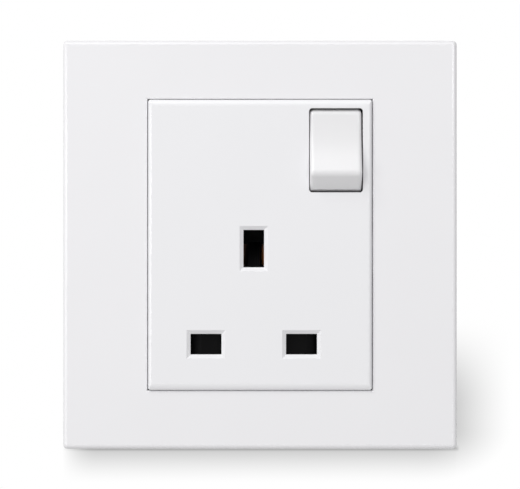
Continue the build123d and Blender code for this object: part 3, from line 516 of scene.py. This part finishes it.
def rocker_gap_group():
    """Share of painted shade in the pocket over the rocker's upper end, behind the lip of its window."""
    low, high = node_box("rocker")
    face = node_box("socket_front")[0].y
    lintel = node_box("socket_front")[1].z - BRIDGE
    tree, _, result = new_group("rocker gap", [], [("Share", VALUE)])
    place = object_place(tree)
    share = ramp(tree, place["Y"], face + 0.00012, face + 0.00040)
    for value, start, end in (
        (place["Z"], lintel - 0.0004, lintel - 0.0001),
        (place["Z"], lintel + 0.0010, lintel + 0.0008),
        (place["X"], low.x - 0.0002, low.x),
        (place["X"], high.x + 0.0002, high.x),
    ):
        share = arithmetic(tree, "MULTIPLY", share, ramp(tree, value, start, end))
    feed(tree, result["Share"], share)


def outside(tree, value, edge, reach, rounding):
    """Distance past an edge in reaches, from a little inside it so that the corner is rounded."""
    shifted = arithmetic(tree, "SUBTRACT", value, edge - rounding * reach)
    return arithmetic(tree, "MAXIMUM", arithmetic(tree, "DIVIDE", shifted, reach))


def soft_shadow_group():
    """Light on the wall: a soft shadow painted under the plate, and one beside its lower right."""
    left, right = cad_box[0][0] - SHADOW_EDGE, cad_box[1][0] + SHADOW_EDGE
    bottom = cad_box[0][2] - SHADOW_EDGE
    tree, given, result = new_group(
        "soft shadow", [("Depth", VALUE, 0.41), ("Contact", VALUE, 0.25)], [("Light", VALUE)],
    )
    place = object_place(tree)
    across, up = place["X"], place["Z"]
    # It comes in from the plate's left end, and goes out up its right side
    left_none, left_full = left - 0.0002, left + 0.0083
    climb_none, climb_full = bottom + 0.032, bottom + 0.010
    enter = arithmetic(tree, "POWER", ramp(tree, across, left_full, left_none), 2.0)
    climb = ramp(tree, up, climb_none, climb_full, smooth=True)
    shade = arithmetic(tree, "MULTIPLY", arithmetic(tree, "SUBTRACT", 1.0, enter), climb)
    layers = []
    for depth, reach_right, reach_down, fall, rounding in SHADOW_LAYERS:
        out_right = outside(tree, across, right, reach_right, rounding)
        out_down = outside(tree, up, bottom, -reach_down, rounding)
        squares = [arithmetic(tree, "POWER", out, 2.0) for out in (out_right, out_down)]
        away = arithmetic(tree, "SQRT", arithmetic(tree, "ADD", *squares))
        away = arithmetic(tree, "MAXIMUM", arithmetic(tree, "SUBTRACT", away, rounding))
        near = arithmetic(tree, "MAXIMUM", arithmetic(tree, "SUBTRACT", 1.0, away))
        near = arithmetic(tree, "POWER", near, fall)
        layers.append(arithmetic(tree, "MULTIPLY", near, given[depth]))
    soft, contact = layers
    # It is a little lighter beside the plate, and closes up to the plate only below it
    lighter = 0.08
    beside = arithmetic(tree, "MULTIPLY", ramp(tree, across, right - 0.0003, right), lighter)
    soft = arithmetic(tree, "MULTIPLY", soft, arithmetic(tree, "SUBTRACT", 1.0, beside))
    contact = arithmetic(tree, "MULTIPLY", contact, ramp(tree, up, bottom + 0.001, bottom))
    shade = arithmetic(tree, "MULTIPLY", shade, arithmetic(tree, "ADD", soft, contact))
    feed(tree, result["Light"], arithmetic(tree, "SUBTRACT", 1.0, shade))


# Materials


def blank_material(name):
    """Material with a Principled shader and nothing else."""
    material = bpy.data.materials.new(name)
    material.use_nodes = True
    nodes = material.node_tree.nodes
    nodes.clear()
    shader = nodes.new("ShaderNodeBsdfPrincipled")
    output = nodes.new("ShaderNodeOutputMaterial")
    material.node_tree.links.new(shader.outputs["BSDF"], output.inputs["Surface"])
    return material, shader


def place_group(material, name, values):
    """Puts a shader group in a material with its own values."""
    node = material.node_tree.nodes.new("ShaderNodeGroup")
    node.node_tree = bpy.data.node_groups[name]
    for socket, value in values.items():
        node.inputs[socket].default_value = value
    return node


def raise_bump(material, shader, height, strength, distance):
    """Feeds a height into the shader's normal."""
    tree = material.node_tree
    bump = tree.nodes.new("ShaderNodeBump")
    bump.inputs["Strength"].default_value = strength
    bump.inputs["Distance"].default_value = distance
    tree.links.new(height, bump.inputs["Height"])
    tree.links.new(bump.outputs["Normal"], shader.inputs["Normal"])


def moulded_material(name, colour, gloss, gloss_spread, clouding, peel_scale, peel_depth, specular=0.5):
    """Moulded polymer finish."""
    material, shader = blank_material(name)
    skin = place_group(
        material, "moulded skin",
        {"Colour": (*colour, 1.0), "Clouding": clouding, "Gloss": gloss, "Gloss spread": gloss_spread,
         "Peel scale": peel_scale},
    )
    links = material.node_tree.links
    links.new(skin.outputs["Colour"], shader.inputs["Base Color"])
    links.new(skin.outputs["Roughness"], shader.inputs["Roughness"])
    shader.inputs["IOR"].default_value = POLYMER_IOR
    shader.inputs["Specular IOR Level"].default_value = specular
    raise_bump(material, shader, skin.outputs["Peel"], PEEL_STRENGTH, peel_depth)
    return material


def metal_material(name, colour, tarnish, share, gloss, gloss_spread, streaks, depth, bare=1.0):
    """Worked metal finish; less than all of it is bare where an oxide film dulls it."""
    material, shader = blank_material(name)
    metal = place_group(
        material, "worked metal",
        {"Colour": (*colour, 1.0), "Tarnish": (*tarnish, 1.0), "Tarnish share": share, "Gloss": gloss,
         "Gloss spread": gloss_spread, "Streaks": streaks},
    )
    links = material.node_tree.links
    links.new(metal.outputs["Colour"], shader.inputs["Base Color"])
    links.new(metal.outputs["Roughness"], shader.inputs["Roughness"])
    shader.inputs["Metallic"].default_value = bare
    raise_bump(material, shader, metal.outputs["Streak height"], STREAK_STRENGTH, depth)
    return material


def lay_over(material, name, colour):
    """Lays a second colour over a finish, where a shader group gives it a share."""
    tree = material.node_tree
    base = tree.nodes["Principled BSDF"].inputs["Base Color"]
    under = base.links[0].from_socket
    share = place_group(material, name, {}).outputs["Share"]
    feed(tree, base, mix_colours(tree, share, under, (*colour, 1.0)))


def finish_nodes(material, *names):
    """Gives CAD nodes a material."""
    for name in names:
        node = frame["nodes"][name]
        node.data.materials.clear()
        node.data.materials.append(material)


# Modelling helpers


def start_clean():
    """Leaves edit mode and deselects everything."""
    if bpy.context.object and bpy.context.object.mode != "OBJECT":
        bpy.ops.object.mode_set(mode="OBJECT")
    bpy.ops.object.select_all(action="DESELECT")


def take_up(piece):
    """Selects one piece alone and makes it active."""
    start_clean()
    piece.select_set(True)
    bpy.context.view_layer.objects.active = piece


def name_piece(name):
    """Names the active object and its mesh."""
    piece = bpy.context.object
    piece.name = name
    piece.data.name = name
    return piece


def apply_modifier(piece, modifier):
    """Applies a modifier to a piece."""
    bpy.context.view_layer.objects.active = piece
    bpy.ops.object.modifier_apply(modifier=modifier.name)


def pick_faces(piece, test):
    """In edit mode, selects the faces whose normal passes a test."""
    mesh = bmesh.from_edit_mesh(piece.data)
    bpy.ops.mesh.select_mode(type="FACE")
    for face in mesh.faces:
        face.select_set(test(face.normal))
    mesh.select_flush_mode()
    bmesh.update_edit_mesh(piece.data)


def pick_edges(piece, test):
    """In edit mode, selects the edges whose two ends pass a test."""
    mesh = bmesh.from_edit_mesh(piece.data)
    bpy.ops.mesh.select_mode(type="EDGE")
    for edge in mesh.edges:
        edge.select_set(all(test(end.co) for end in edge.verts))
    mesh.select_flush_mode()
    bmesh.update_edit_mesh(piece.data)


def join_pieces(pieces):
    """Joins pieces into the first one."""
    start_clean()
    for piece in pieces:
        piece.select_set(True)
    bpy.context.view_layer.objects.active = pieces[0]
    bpy.ops.object.join()
    return pieces[0]


def close_up(piece, gap):
    """Merges doubles and turns all faces outwards."""
    take_up(piece)
    bpy.ops.object.mode_set(mode="EDIT")
    bpy.ops.mesh.select_all(action="SELECT")
    bpy.ops.mesh.remove_doubles(threshold=gap)
    bpy.ops.mesh.normals_make_consistent(inside=False)
    bpy.ops.object.mode_set(mode="OBJECT")


def seat(piece, matrix):
    """Moves a piece modelled about the origin to its place, in its mesh."""
    piece.data.transform(matrix)
    piece.data.update()


def smooth(piece, angle):
    """Smooth shading up to an angle between faces."""
    take_up(piece)
    bpy.ops.object.shade_smooth_by_angle(angle=angle)


def stand_up(direction, place):
    """Matrix that takes +Z to a direction and the origin to a place."""
    return Matrix.Translation(place) @ direction.to_track_quat("Z", "Y").to_matrix().to_4x4()


def copy_piece(piece, name):
    """Copy of a piece with its own mesh."""
    twin = piece.copy()
    twin.data = piece.data.copy()
    twin.name = name
    twin.data.name = name
    bpy.context.scene.collection.objects.link(twin)
    return twin


def combine(piece, other, operation):
    """Cuts one piece by another or unites them, and deletes the other."""
    modifier = piece.modifiers.new("combine", "BOOLEAN")
    modifier.operation = operation
    modifier.solver = "EXACT"
    modifier.object = other
    apply_modifier(piece, modifier)
    bpy.data.objects.remove(other, do_unlink=True)


def dress(piece, body, material):
    """Gives a new piece its material and its body."""
    piece.data.materials.clear()
    piece.data.materials.append(material)
    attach(piece, body)


# Springs


def coil(name, wire, radius, turns, height):
    """One helical run of round wire about the Z axis, from the origin's level upwards."""
    start_clean()
    bpy.ops.mesh.primitive_circle_add(
        vertices=WIRE_SIDES, radius=wire, fill_type="NOTHING",
        location=(radius, 0, 0), rotation=(math.pi / 2, 0, 0),
    )
    bpy.ops.object.transform_apply(location=True, rotation=True, scale=True)
    piece = name_piece(name)
    screw = piece.modifiers.new("turns", "SCREW")
    screw.axis = "Z"
    screw.angle = 2 * math.pi * turns
    screw.screw_offset = height
    screw.steps = int(TURN_STEPS * turns)
    screw.render_steps = screw.steps
    screw.use_merge_vertices = False
    apply_modifier(piece, screw)
    return piece


def compression_spring(name, wire, radius, length, open_turns):
    """Spring about the Z axis, centred on the origin: a closed turn at each end, open turns between."""
    closed_rise = CLOSED_RISE * wire
    open_rise = length - 2 * wire - 2 * closed_rise
    level = -length / 2 + wire
    angle = 0.0
    runs = []
    for turns, rise in ((1.0, closed_rise), (open_turns, open_rise), (1.0, closed_rise)):
        run = coil(name, wire, radius, turns, rise)
        seat(run, Matrix.Translation((0, 0, level)) @ Matrix.Rotation(angle, 4, "Z"))
        runs.append(run)
        level += rise
        angle += 2 * math.pi * turns
    spring = join_pieces(runs)
    close_up(spring, gap=wire * 0.05)
    # Caps on the two cut ends of the wire
    bpy.ops.object.mode_set(mode="EDIT")
    bpy.ops.mesh.select_all(action="DESELECT")
    bpy.ops.mesh.select_mode(type="EDGE")
    bpy.ops.mesh.select_non_manifold(
        extend=False, use_wire=False, use_multi_face=False, use_non_contiguous=False, use_verts=False,
    )
    bpy.ops.mesh.fill_holes(sides=0)
    bpy.ops.mesh.select_all(action="SELECT")
    bpy.ops.mesh.normals_make_consistent(inside=False)
    bpy.ops.object.mode_set(mode="OBJECT")
    return spring


# Screws


def threaded_shank(name, crest, root, pitch, length):
    """Thread about the Z axis, from a length below the origin's level up to it."""
    start_clean()
    bpy.ops.mesh.primitive_circle_add(vertices=len(THREAD_PROFILE), radius=root, fill_type="NOTHING")
    piece = name_piece(name)
    bpy.ops.object.mode_set(mode="EDIT")
    bpy.ops.mesh.select_all(action="SELECT")
    bpy.ops.mesh.delete(type="EDGE_FACE")
    mesh = bmesh.from_edit_mesh(piece.data)
    points = list(mesh.verts)
    for vertex, (share, rise) in zip(points, THREAD_PROFILE):
        vertex.co = (root + share * (crest - root), 0, -length + rise * pitch)
    for first, second in zip(points[:-1], points[1:]):
        mesh.edges.new((first, second))
    bmesh.update_edit_mesh(piece.data)
    bpy.ops.object.mode_set(mode="OBJECT")
    screw = piece.modifiers.new("thread", "SCREW")
    screw.axis = "Z"
    screw.angle = 2 * math.pi
    screw.screw_offset = pitch
    run_out = 0.2 * pitch
    screw.iterations = max(1, int((length - run_out) / pitch) - 1)
    screw.steps = THREAD_STEPS
    screw.render_steps = THREAD_STEPS
    apply_modifier(piece, screw)
    close_up(piece, gap=pitch * 0.02)
    return piece


def turned_head(name, radius, height, round_over):
    """Screw head standing on the origin's level: a turned disc with its upper edge rounded."""
    start_clean()
    bpy.ops.mesh.primitive_cylinder_add(
        vertices=HEAD_SIDES, radius=radius, depth=height, location=(0, 0, height / 2),
    )
    bpy.ops.object.transform_apply(location=True, rotation=True, scale=True)
    piece = name_piece(name)
    upper, lower = height * 0.9, height * 0.05
    bpy.ops.object.mode_set(mode="EDIT")
    pick_edges(piece, lambda end: end.z > upper)
    bpy.ops.mesh.bevel(offset=round_over, segments=5, profile=0.5, affect="EDGES")
    pick_edges(piece, lambda end: end.z < lower)
    bpy.ops.mesh.bevel(offset=round_over * 0.3, segments=2, profile=0.5, affect="EDGES")
    bpy.ops.object.mode_set(mode="OBJECT")
    return piece


def slot_cutter(name, length, width, depth, top):
    """Flat-ended bar that cuts a driver slot down from a level."""
    start_clean()
    bpy.ops.mesh.primitive_cube_add(size=1.0, location=(0, 0, top), scale=(length, width, 2 * depth))
    bpy.ops.object.transform_apply(location=True, rotation=True, scale=True)
    return name_piece(name)


def cross_cutter(length, width, depth, top):
    """Tapered cross that cuts a driver recess down from a level."""
    taper = (0.45, 0.7, 1.0)
    arms = []
    for angle in (0.0, math.pi / 2):
        arm = slot_cutter("recess_arm", length, width, depth, top)
        bpy.ops.object.mode_set(mode="EDIT")
        pick_faces(arm, lambda normal: normal.z < -0.9)
        bpy.ops.transform.resize(value=taper, center_override=(0, 0, top - depth))
        bpy.ops.object.mode_set(mode="OBJECT")
        seat(arm, Matrix.Rotation(angle, 4, "Z"))
        arms.append(arm)
    combine(arms[0], arms[1], "UNION")
    return arms[0]


def set_screws(screw, seats, head, first_turn, next_turn):
    """Copies of a screw in their seats with their heads to the back, each turned further in degrees."""
    pieces = []
    for order, (start, end) in enumerate(seats):
        piece = copy_piece(screw, screw.name + "_" + str(order))
        turn = Matrix.Rotation(math.radians(first_turn + next_turn * order), 4, "Z")
        place = Vector(((start.x + end.x) / 2, end.y - head, (start.z + end.z) / 2))
        seat(piece, stand_up(BACK, place) @ turn)
        smooth(piece, SCREW_SMOOTHING)
        pieces.append(piece)
    bpy.data.objects.remove(screw, do_unlink=True)
    return pieces


# Operators


class SOCKET_OT_white_mouldings(bpy.types.Operator):
    """Finish the frame, the insert and the rocker in glossy white"""

    bl_idname = "socket.white_mouldings"
    bl_label = "White Mouldings"

    def execute(self, context):
        finish = context.scene.socket_finish
        finish_nodes(self.glossy("glossy frame white", finish.frame_white, gloss=0.19), "cover_frame")
        insert = self.glossy("glossy insert white", finish.insert_white, gloss=0.22)
        # Painted shade: the insert is painted near black in the pocket over the rocker's upper end
        lay_over(insert, "rocker gap", POCKET_PAINTED_SHADE)
        finish_nodes(insert, "socket_front")
        finish_nodes(self.glossy("glossy rocker white", finish.rocker_white, gloss=0.26), "rocker")
        return {"FINISHED"}

    def glossy(self, name, colour, gloss):
        """White polymer from a polished mould."""
        return moulded_material(
            name, colour, gloss, gloss_spread=0.010, clouding=0.004, peel_scale=900.0, peel_depth=0.0000003,
        )


class SOCKET_OT_dark_mouldings(bpy.types.Operator):
    """Finish the rear housing, the shutter, its retainer and the plunger"""

    bl_idname = "socket.dark_mouldings"
    bl_label = "Dark Mouldings"

    def execute(self, context):
        finish = context.scene.socket_finish
        finish_nodes(
            moulded_material(
                "matt housing grey", finish.housing_grey, gloss=0.52, gloss_spread=0.08, clouding=0.10,
                peel_scale=2600.0, peel_depth=0.00002,
            ),
            "rear_housing",
        )
        finish_nodes(
            moulded_material(
                "satin shutter black", finish.shutter_black, gloss=0.46, gloss_spread=0.06, clouding=0.10,
                peel_scale=1800.0, peel_depth=0.000006, specular=0.04,
            ),
            "shutter", "shutter_retainer", "plunger",
        )
        return {"FINISHED"}


class SOCKET_OT_metalwork(bpy.types.Operator):
    """Finish the bracket, the clips, the switch contacts and the terminals"""

    bl_idname = "socket.metalwork"
    bl_label = "Metalwork"

    def execute(self, context):
        finish = context.scene.socket_finish
        finish_nodes(
            metal_material(
                "bright zinc sheet", finish.zinc, tarnish=(0.52, 0.55, 0.60), share=0.55,
                gloss=0.34, gloss_spread=0.10, streaks=ALONG, depth=0.000004,
            ),
            "mounting_bracket",
        )
        finish_nodes(
            metal_material(
                "rolled bronze strip", finish.bronze, tarnish=(0.46, 0.21, 0.09), share=0.5,
                gloss=0.30, gloss_spread=0.09, streaks=UPRIGHT, depth=0.000003,
            ),
            "switch_arm", "switch_cradle", "fixed_strip", "line_clip", "neutral_contact",
        )
        rubbed = metal_material(
            "rubbed bronze strip", finish.oxide, tarnish=(0.040, 0.022, 0.014), share=0.4,
            gloss=0.60, gloss_spread=0.08, streaks=UPRIGHT, depth=0.000003, bare=0.1,
        )
        # Painted glint: the right leaf of the earth clip is painted bright towards its foot, over the clip's
        # dark finish
        lay_over(rubbed, "rubbed leaf", finish.rubbed)
        finish_nodes(rubbed, "earth_contact")
        finish_nodes(
            metal_material(
                "machined brass", finish.brass, tarnish=(0.55, 0.34, 0.13), share=0.4,
                gloss=0.27, gloss_spread=0.08, streaks=UPRIGHT, depth=0.000004,
            ),
            "line_terminal", "neutral_terminal", "earth_terminal",
        )
        finish_nodes(
            metal_material(
                "satin silver", finish.silver, tarnish=(0.60, 0.57, 0.50), share=0.35,
                gloss=0.33, gloss_spread=0.08, streaks=ALONG, depth=0.000002,
            ),
            "moving_contact", "fixed_contact",
        )
        return {"FINISHED"}


class SOCKET_OT_coil_springs(bpy.types.Operator):
    """Wind the springs of the shutter and the plunger"""

    bl_idname = "socket.coil_springs"
    bl_label = "Coil Springs"

    def execute(self, context):
        springs = context.scene.socket_springs
        wire_steel = metal_material(
            "drawn spring wire", context.scene.socket_finish.steel, tarnish=(0.40, 0.38, 0.35), share=0.4,
            gloss=0.24, gloss_spread=0.08, streaks=(2400.0, 2400.0, 2400.0), depth=0.000002,
        )

        low, high = node_box("shutter_spring")
        middle = (low + high) / 2
        length = high.z - low.z
        wire = springs.shutter_wire
        spring = compression_spring(
            "shutter_coil", wire, (high.x - low.x) / 2 - wire, length, springs.shutter_turns,
        )
        seat(spring, Matrix.Translation(middle))
        smooth(spring, WIRE_SMOOTHING)
        dress(spring, "base", wire_steel)
        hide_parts("shutter_spring")
        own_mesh(spring)

        axis = joint_axis("plunger_slide")
        low, high = node_box("plunger_spring")
        middle = (low + high) / 2
        width = high.x - low.x
        length = ((high.y - low.y) - width * abs(axis.z)) / abs(axis.y)
        wire = springs.plunger_wire
        spring = compression_spring(
            "plunger_coil", wire, width / 2 - wire, length, springs.plunger_turns,
        )
        seat(spring, stand_up(axis, middle))
        smooth(spring, WIRE_SMOOTHING)
        dress(spring, "rocker", wire_steel)
        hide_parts("plunger_spring")
        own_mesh(spring)
        return {"FINISHED"}


class SOCKET_OT_terminal_screws(bpy.types.Operator):
    """Turn the slotted clamping screws of the three terminals"""

    bl_idname = "socket.terminal_screws"
    bl_label = "Terminal Screws"

    def execute(self, context):
        sizes = context.scene.socket_screws
        brass = metal_material(
            "turned brass", context.scene.socket_finish.brass, tarnish=(0.50, 0.30, 0.12), share=0.45,
            gloss=0.25, gloss_spread=0.08, streaks=(2600.0, 400.0, 2600.0), depth=0.000004,
        )
        low, high = node_box("terminal_screws")
        radius = (high.z - low.z) / 2
        seats = node_islands("terminal_screws", reach=radius * 1.6)
        if len(seats) != 3:
            raise RuntimeError("the terminals have " + str(len(seats)) + " screws, not 3")
        head = turned_head("terminal_screw", radius, sizes.terminal_head, round_over=0.00045)
        slot = slot_cutter(
            "slot_cutter", length=radius * 3, width=0.0009, depth=0.0010, top=sizes.terminal_head,
        )
        combine(head, slot, "DIFFERENCE")
        crest = sizes.terminal_shank
        shank = (high.y - low.y) - sizes.terminal_head
        thread = threaded_shank(
            "terminal_thread", crest, root=crest * 0.83, pitch=sizes.terminal_pitch, length=shank,
        )
        screw = join_pieces([head, thread])
        seats.sort(key=lambda box: box[0].x)
        for piece in set_screws(screw, seats, sizes.terminal_head, first_turn=24, next_turn=57):
            dress(piece, "base", brass)
            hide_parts("terminal_screws")
        return {"FINISHED"}


class SOCKET_OT_housing_screws(bpy.types.Operator):
    """Turn the cross-recessed screws that hold the housing to the insert"""

    bl_idname = "socket.housing_screws"
    bl_label = "Housing Screws"

    def execute(self, context):
        sizes = context.scene.socket_screws
        steel = metal_material(
            "plated screw steel", context.scene.socket_finish.steel, tarnish=(0.45, 0.42, 0.34), share=0.5,
            gloss=0.29, gloss_spread=0.09, streaks=(2400.0, 500.0, 2400.0), depth=0.000003,
        )
        seats = node_islands("housing_screws", reach=0.004)
        if len(seats) != 4:
            raise RuntimeError("the housing has " + str(len(seats)) + " screws, not 4")
        low, high = seats[0]
        head = turned_head("housing_screw", (high.z - low.z) / 2, sizes.housing_head, round_over=0.0009)
        recess = cross_cutter(length=0.0030, width=0.00065, depth=0.0012, top=sizes.housing_head)
        combine(head, recess, "DIFFERENCE")
        crest = sizes.housing_shank
        shank = (high.y - low.y) - sizes.housing_head
        thread = threaded_shank(
            "housing_thread", crest, root=crest * 0.74, pitch=sizes.housing_pitch, length=shank,
        )
        screw = join_pieces([head, thread])
        seats.sort(key=lambda box: (box[0].z, box[0].x))
        for piece in set_screws(screw, seats, sizes.housing_head, first_turn=11, next_turn=38):
            dress(piece, "base", steel)
            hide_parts("housing_screws")
        return {"FINISHED"}


def wall_material(stage):
    """White wall, seen from its front only, with the plate's soft shadow painted on it."""
    material = bpy.data.materials.new("white wall")
    material.use_nodes = True
    tree = material.node_tree
    tree.nodes.clear()
    output = tree.nodes.new("ShaderNodeOutputMaterial")
    light = tree.nodes.new("ShaderNodeLightPath").outputs
    side = tree.nodes.new("ShaderNodeNewGeometry").outputs
    # Painted shadow: the wall's brightness is set by place, darker under and beside the plate
    shadow = place_group(
        material, "soft shadow", {"Depth": stage.shadow_depth, "Contact": stage.shadow_contact},
    )
    shown = tree.nodes.new("ShaderNodeEmission")
    feed(tree, shown.inputs["Strength"], shadow.outputs["Light"])
    grey = tree.nodes.new("ShaderNodeBsdfDiffuse")
    grey.inputs["Color"].default_value = WALL_BOUNCE
    clear = tree.nodes.new("ShaderNodeBsdfTransparent")
    front = mix_shaders(tree, light["Is Diffuse Ray"], shown.outputs[0], grey.outputs[0])
    sided = mix_shaders(tree, side["Backfacing"], front, clear.outputs[0])
    feed(tree, output.inputs["Surface"], sided)
    return material


def pale_room(stage):
    """World of even light, which the camera, gloss and clear things see as white."""
    world = bpy.data.worlds.new("pale room")
    world.use_nodes = True
    tree = world.node_tree
    tree.nodes.clear()
    output = tree.nodes.new("ShaderNodeOutputWorld")
    light = tree.nodes.new("ShaderNodeLightPath").outputs
    lit_and_shown = []
    for strength in (stage.sky, 1.0):
        background = tree.nodes.new("ShaderNodeBackground")
        background.inputs["Color"].default_value = WHITE
        background.inputs["Strength"].default_value = strength
        lit_and_shown.append(background.outputs[0])
    seen = arithmetic(tree, "MAXIMUM", light["Is Camera Ray"], light["Is Glossy Ray"])
    seen = arithmetic(tree, "MAXIMUM", seen, light["Is Transmission Ray"])
    feed(tree, output.inputs["Surface"], mix_shaders(tree, seen, *lit_and_shown))
    return world


class SOCKET_OT_stage(bpy.types.Operator):
    """Set the wall, the lamps and the camera"""

    bl_idname = "socket.stage"
    bl_label = "Stage"

    def execute(self, context):
        scene = context.scene
        stage = scene.socket_stage
        scene.view_settings.view_transform = "Standard"
        scene.world = pale_room(stage)
        self.wall(stage)

        face = node_box("socket_front")[0].y
        aim = Vector((0.0, face, 0.0))
        place = aim + Vector(stage.key_direction).normalized() * stage.key_distance
        self.lamp("key", place, aim, stage.key_size, stage.key, stage.key_distance)
        for name, toward, side in RIM_LAMPS:
            place = aim + toward * stage.rim_distance
            self.lamp(name, place, aim, getattr(stage, side), getattr(stage, name), stage.rim_distance)
        self.lamp("rear", REAR_LAMP, Vector((0.0, 0.0, 0.0)), REAR_SIDE, stage.rear, REAR_LAMP.length)

        camera = bpy.data.cameras.new("camera")
        camera.sensor_width = SENSOR
        camera.sensor_fit = "HORIZONTAL"
        camera.lens = SENSOR * stage.camera_distance / stage.view_width
        camera.clip_start = 0.01
        holder = bpy.data.objects.new("camera", camera)
        scene.collection.objects.link(holder)
        holder.location = (stage.camera_side, face - stage.camera_distance, stage.camera_rise)
        holder.rotation_euler = (math.pi / 2, 0.0, 0.0)
        scene.camera = holder
        return {"FINISHED"}

    def wall(self, stage):
        """Wall with an opening of the plate's outline, so that light reaches the back of the socket."""
        start_clean()
        bpy.ops.mesh.primitive_plane_add(size=WALL_SIDE, rotation=(math.pi / 2, 0, 0), location=(0, 0, 0))
        bpy.ops.object.transform_apply(location=True, rotation=True, scale=True)
        wall = name_piece("wall")
        bpy.ops.object.mode_set(mode="EDIT")
        bpy.ops.mesh.select_all(action="SELECT")
        bpy.ops.mesh.inset(thickness=WALL_BORDER)
        inset = WALL_SIDE - 2 * WALL_BORDER
        width, height = cad_box[1][0] - cad_box[0][0], cad_box[1][2] - cad_box[0][2]
        bpy.ops.transform.resize(value=(width / inset, 1.0, height / inset), center_override=(0, 0, 0))
        bpy.ops.mesh.delete(type="FACE")
        bpy.ops.object.mode_set(mode="OBJECT")
        wall.data.materials.append(wall_material(stage))

    def lamp(self, name, place, aim, side, level, distance):
        """Square area lamp that lights a white face square to it to a level."""
        light = bpy.data.lights.new(name, "AREA")
        light.shape = "SQUARE"
        light.size = side
        light.energy = math.pi ** 2 * distance ** 2 * level
        holder = bpy.data.objects.new(name, light)
        bpy.context.scene.collection.objects.link(holder)
        holder.location = place
        holder.rotation_euler = (aim - place).to_track_quat("-Z", "Y").to_euler()


class SOCKET_PT_looks(bpy.types.Panel):
    """Lists the steps that dress the socket"""

    bl_idname = "SOCKET_PT_looks"
    bl_label = "Switched Socket"
    bl_space_type = "VIEW_3D"
    bl_region_type = "UI"
    bl_category = "Socket"

    def draw(self, context):
        column = self.layout.column(align=True)
        for step in STEPS:
            column.operator(step.bl_idname)
        for group in ("socket_finish", "socket_springs", "socket_screws", "socket_stage"):
            values = getattr(context.scene, group)
            box = self.layout.box()
            for name in values.__annotations__:
                box.prop(values, name)


GROUPS = (SocketFinish, SocketSprings, SocketScrews, SocketStage)
STEPS = (
    SOCKET_OT_white_mouldings,
    SOCKET_OT_dark_mouldings,
    SOCKET_OT_metalwork,
    SOCKET_OT_coil_springs,
    SOCKET_OT_terminal_screws,
    SOCKET_OT_housing_screws,
    SOCKET_OT_stage,
)


def register():
    for item in (*GROUPS, *STEPS, SOCKET_PT_looks):
        bpy.utils.register_class(item)
    bpy.types.Scene.socket_finish = PointerProperty(type=SocketFinish)
    bpy.types.Scene.socket_springs = PointerProperty(type=SocketSprings)
    bpy.types.Scene.socket_screws = PointerProperty(type=SocketScrews)
    bpy.types.Scene.socket_stage = PointerProperty(type=SocketStage)


def unregister():
    del bpy.types.Scene.socket_stage
    del bpy.types.Scene.socket_screws
    del bpy.types.Scene.socket_springs
    del bpy.types.Scene.socket_finish
    for item in reversed((*GROUPS, *STEPS, SOCKET_PT_looks)):
        bpy.utils.unregister_class(item)


def main():
    register()
    moulded_skin_group()
    worked_metal_group()
    rubbed_leaf_group()
    rocker_gap_group()
    soft_shadow_group()
    bpy.ops.socket.white_mouldings()
    bpy.ops.socket.dark_mouldings()
    bpy.ops.socket.metalwork()
    bpy.ops.socket.coil_springs()
    bpy.ops.socket.terminal_screws()
    bpy.ops.socket.housing_screws()
    bpy.ops.socket.stage()


if __name__ == "__main__":
    main()
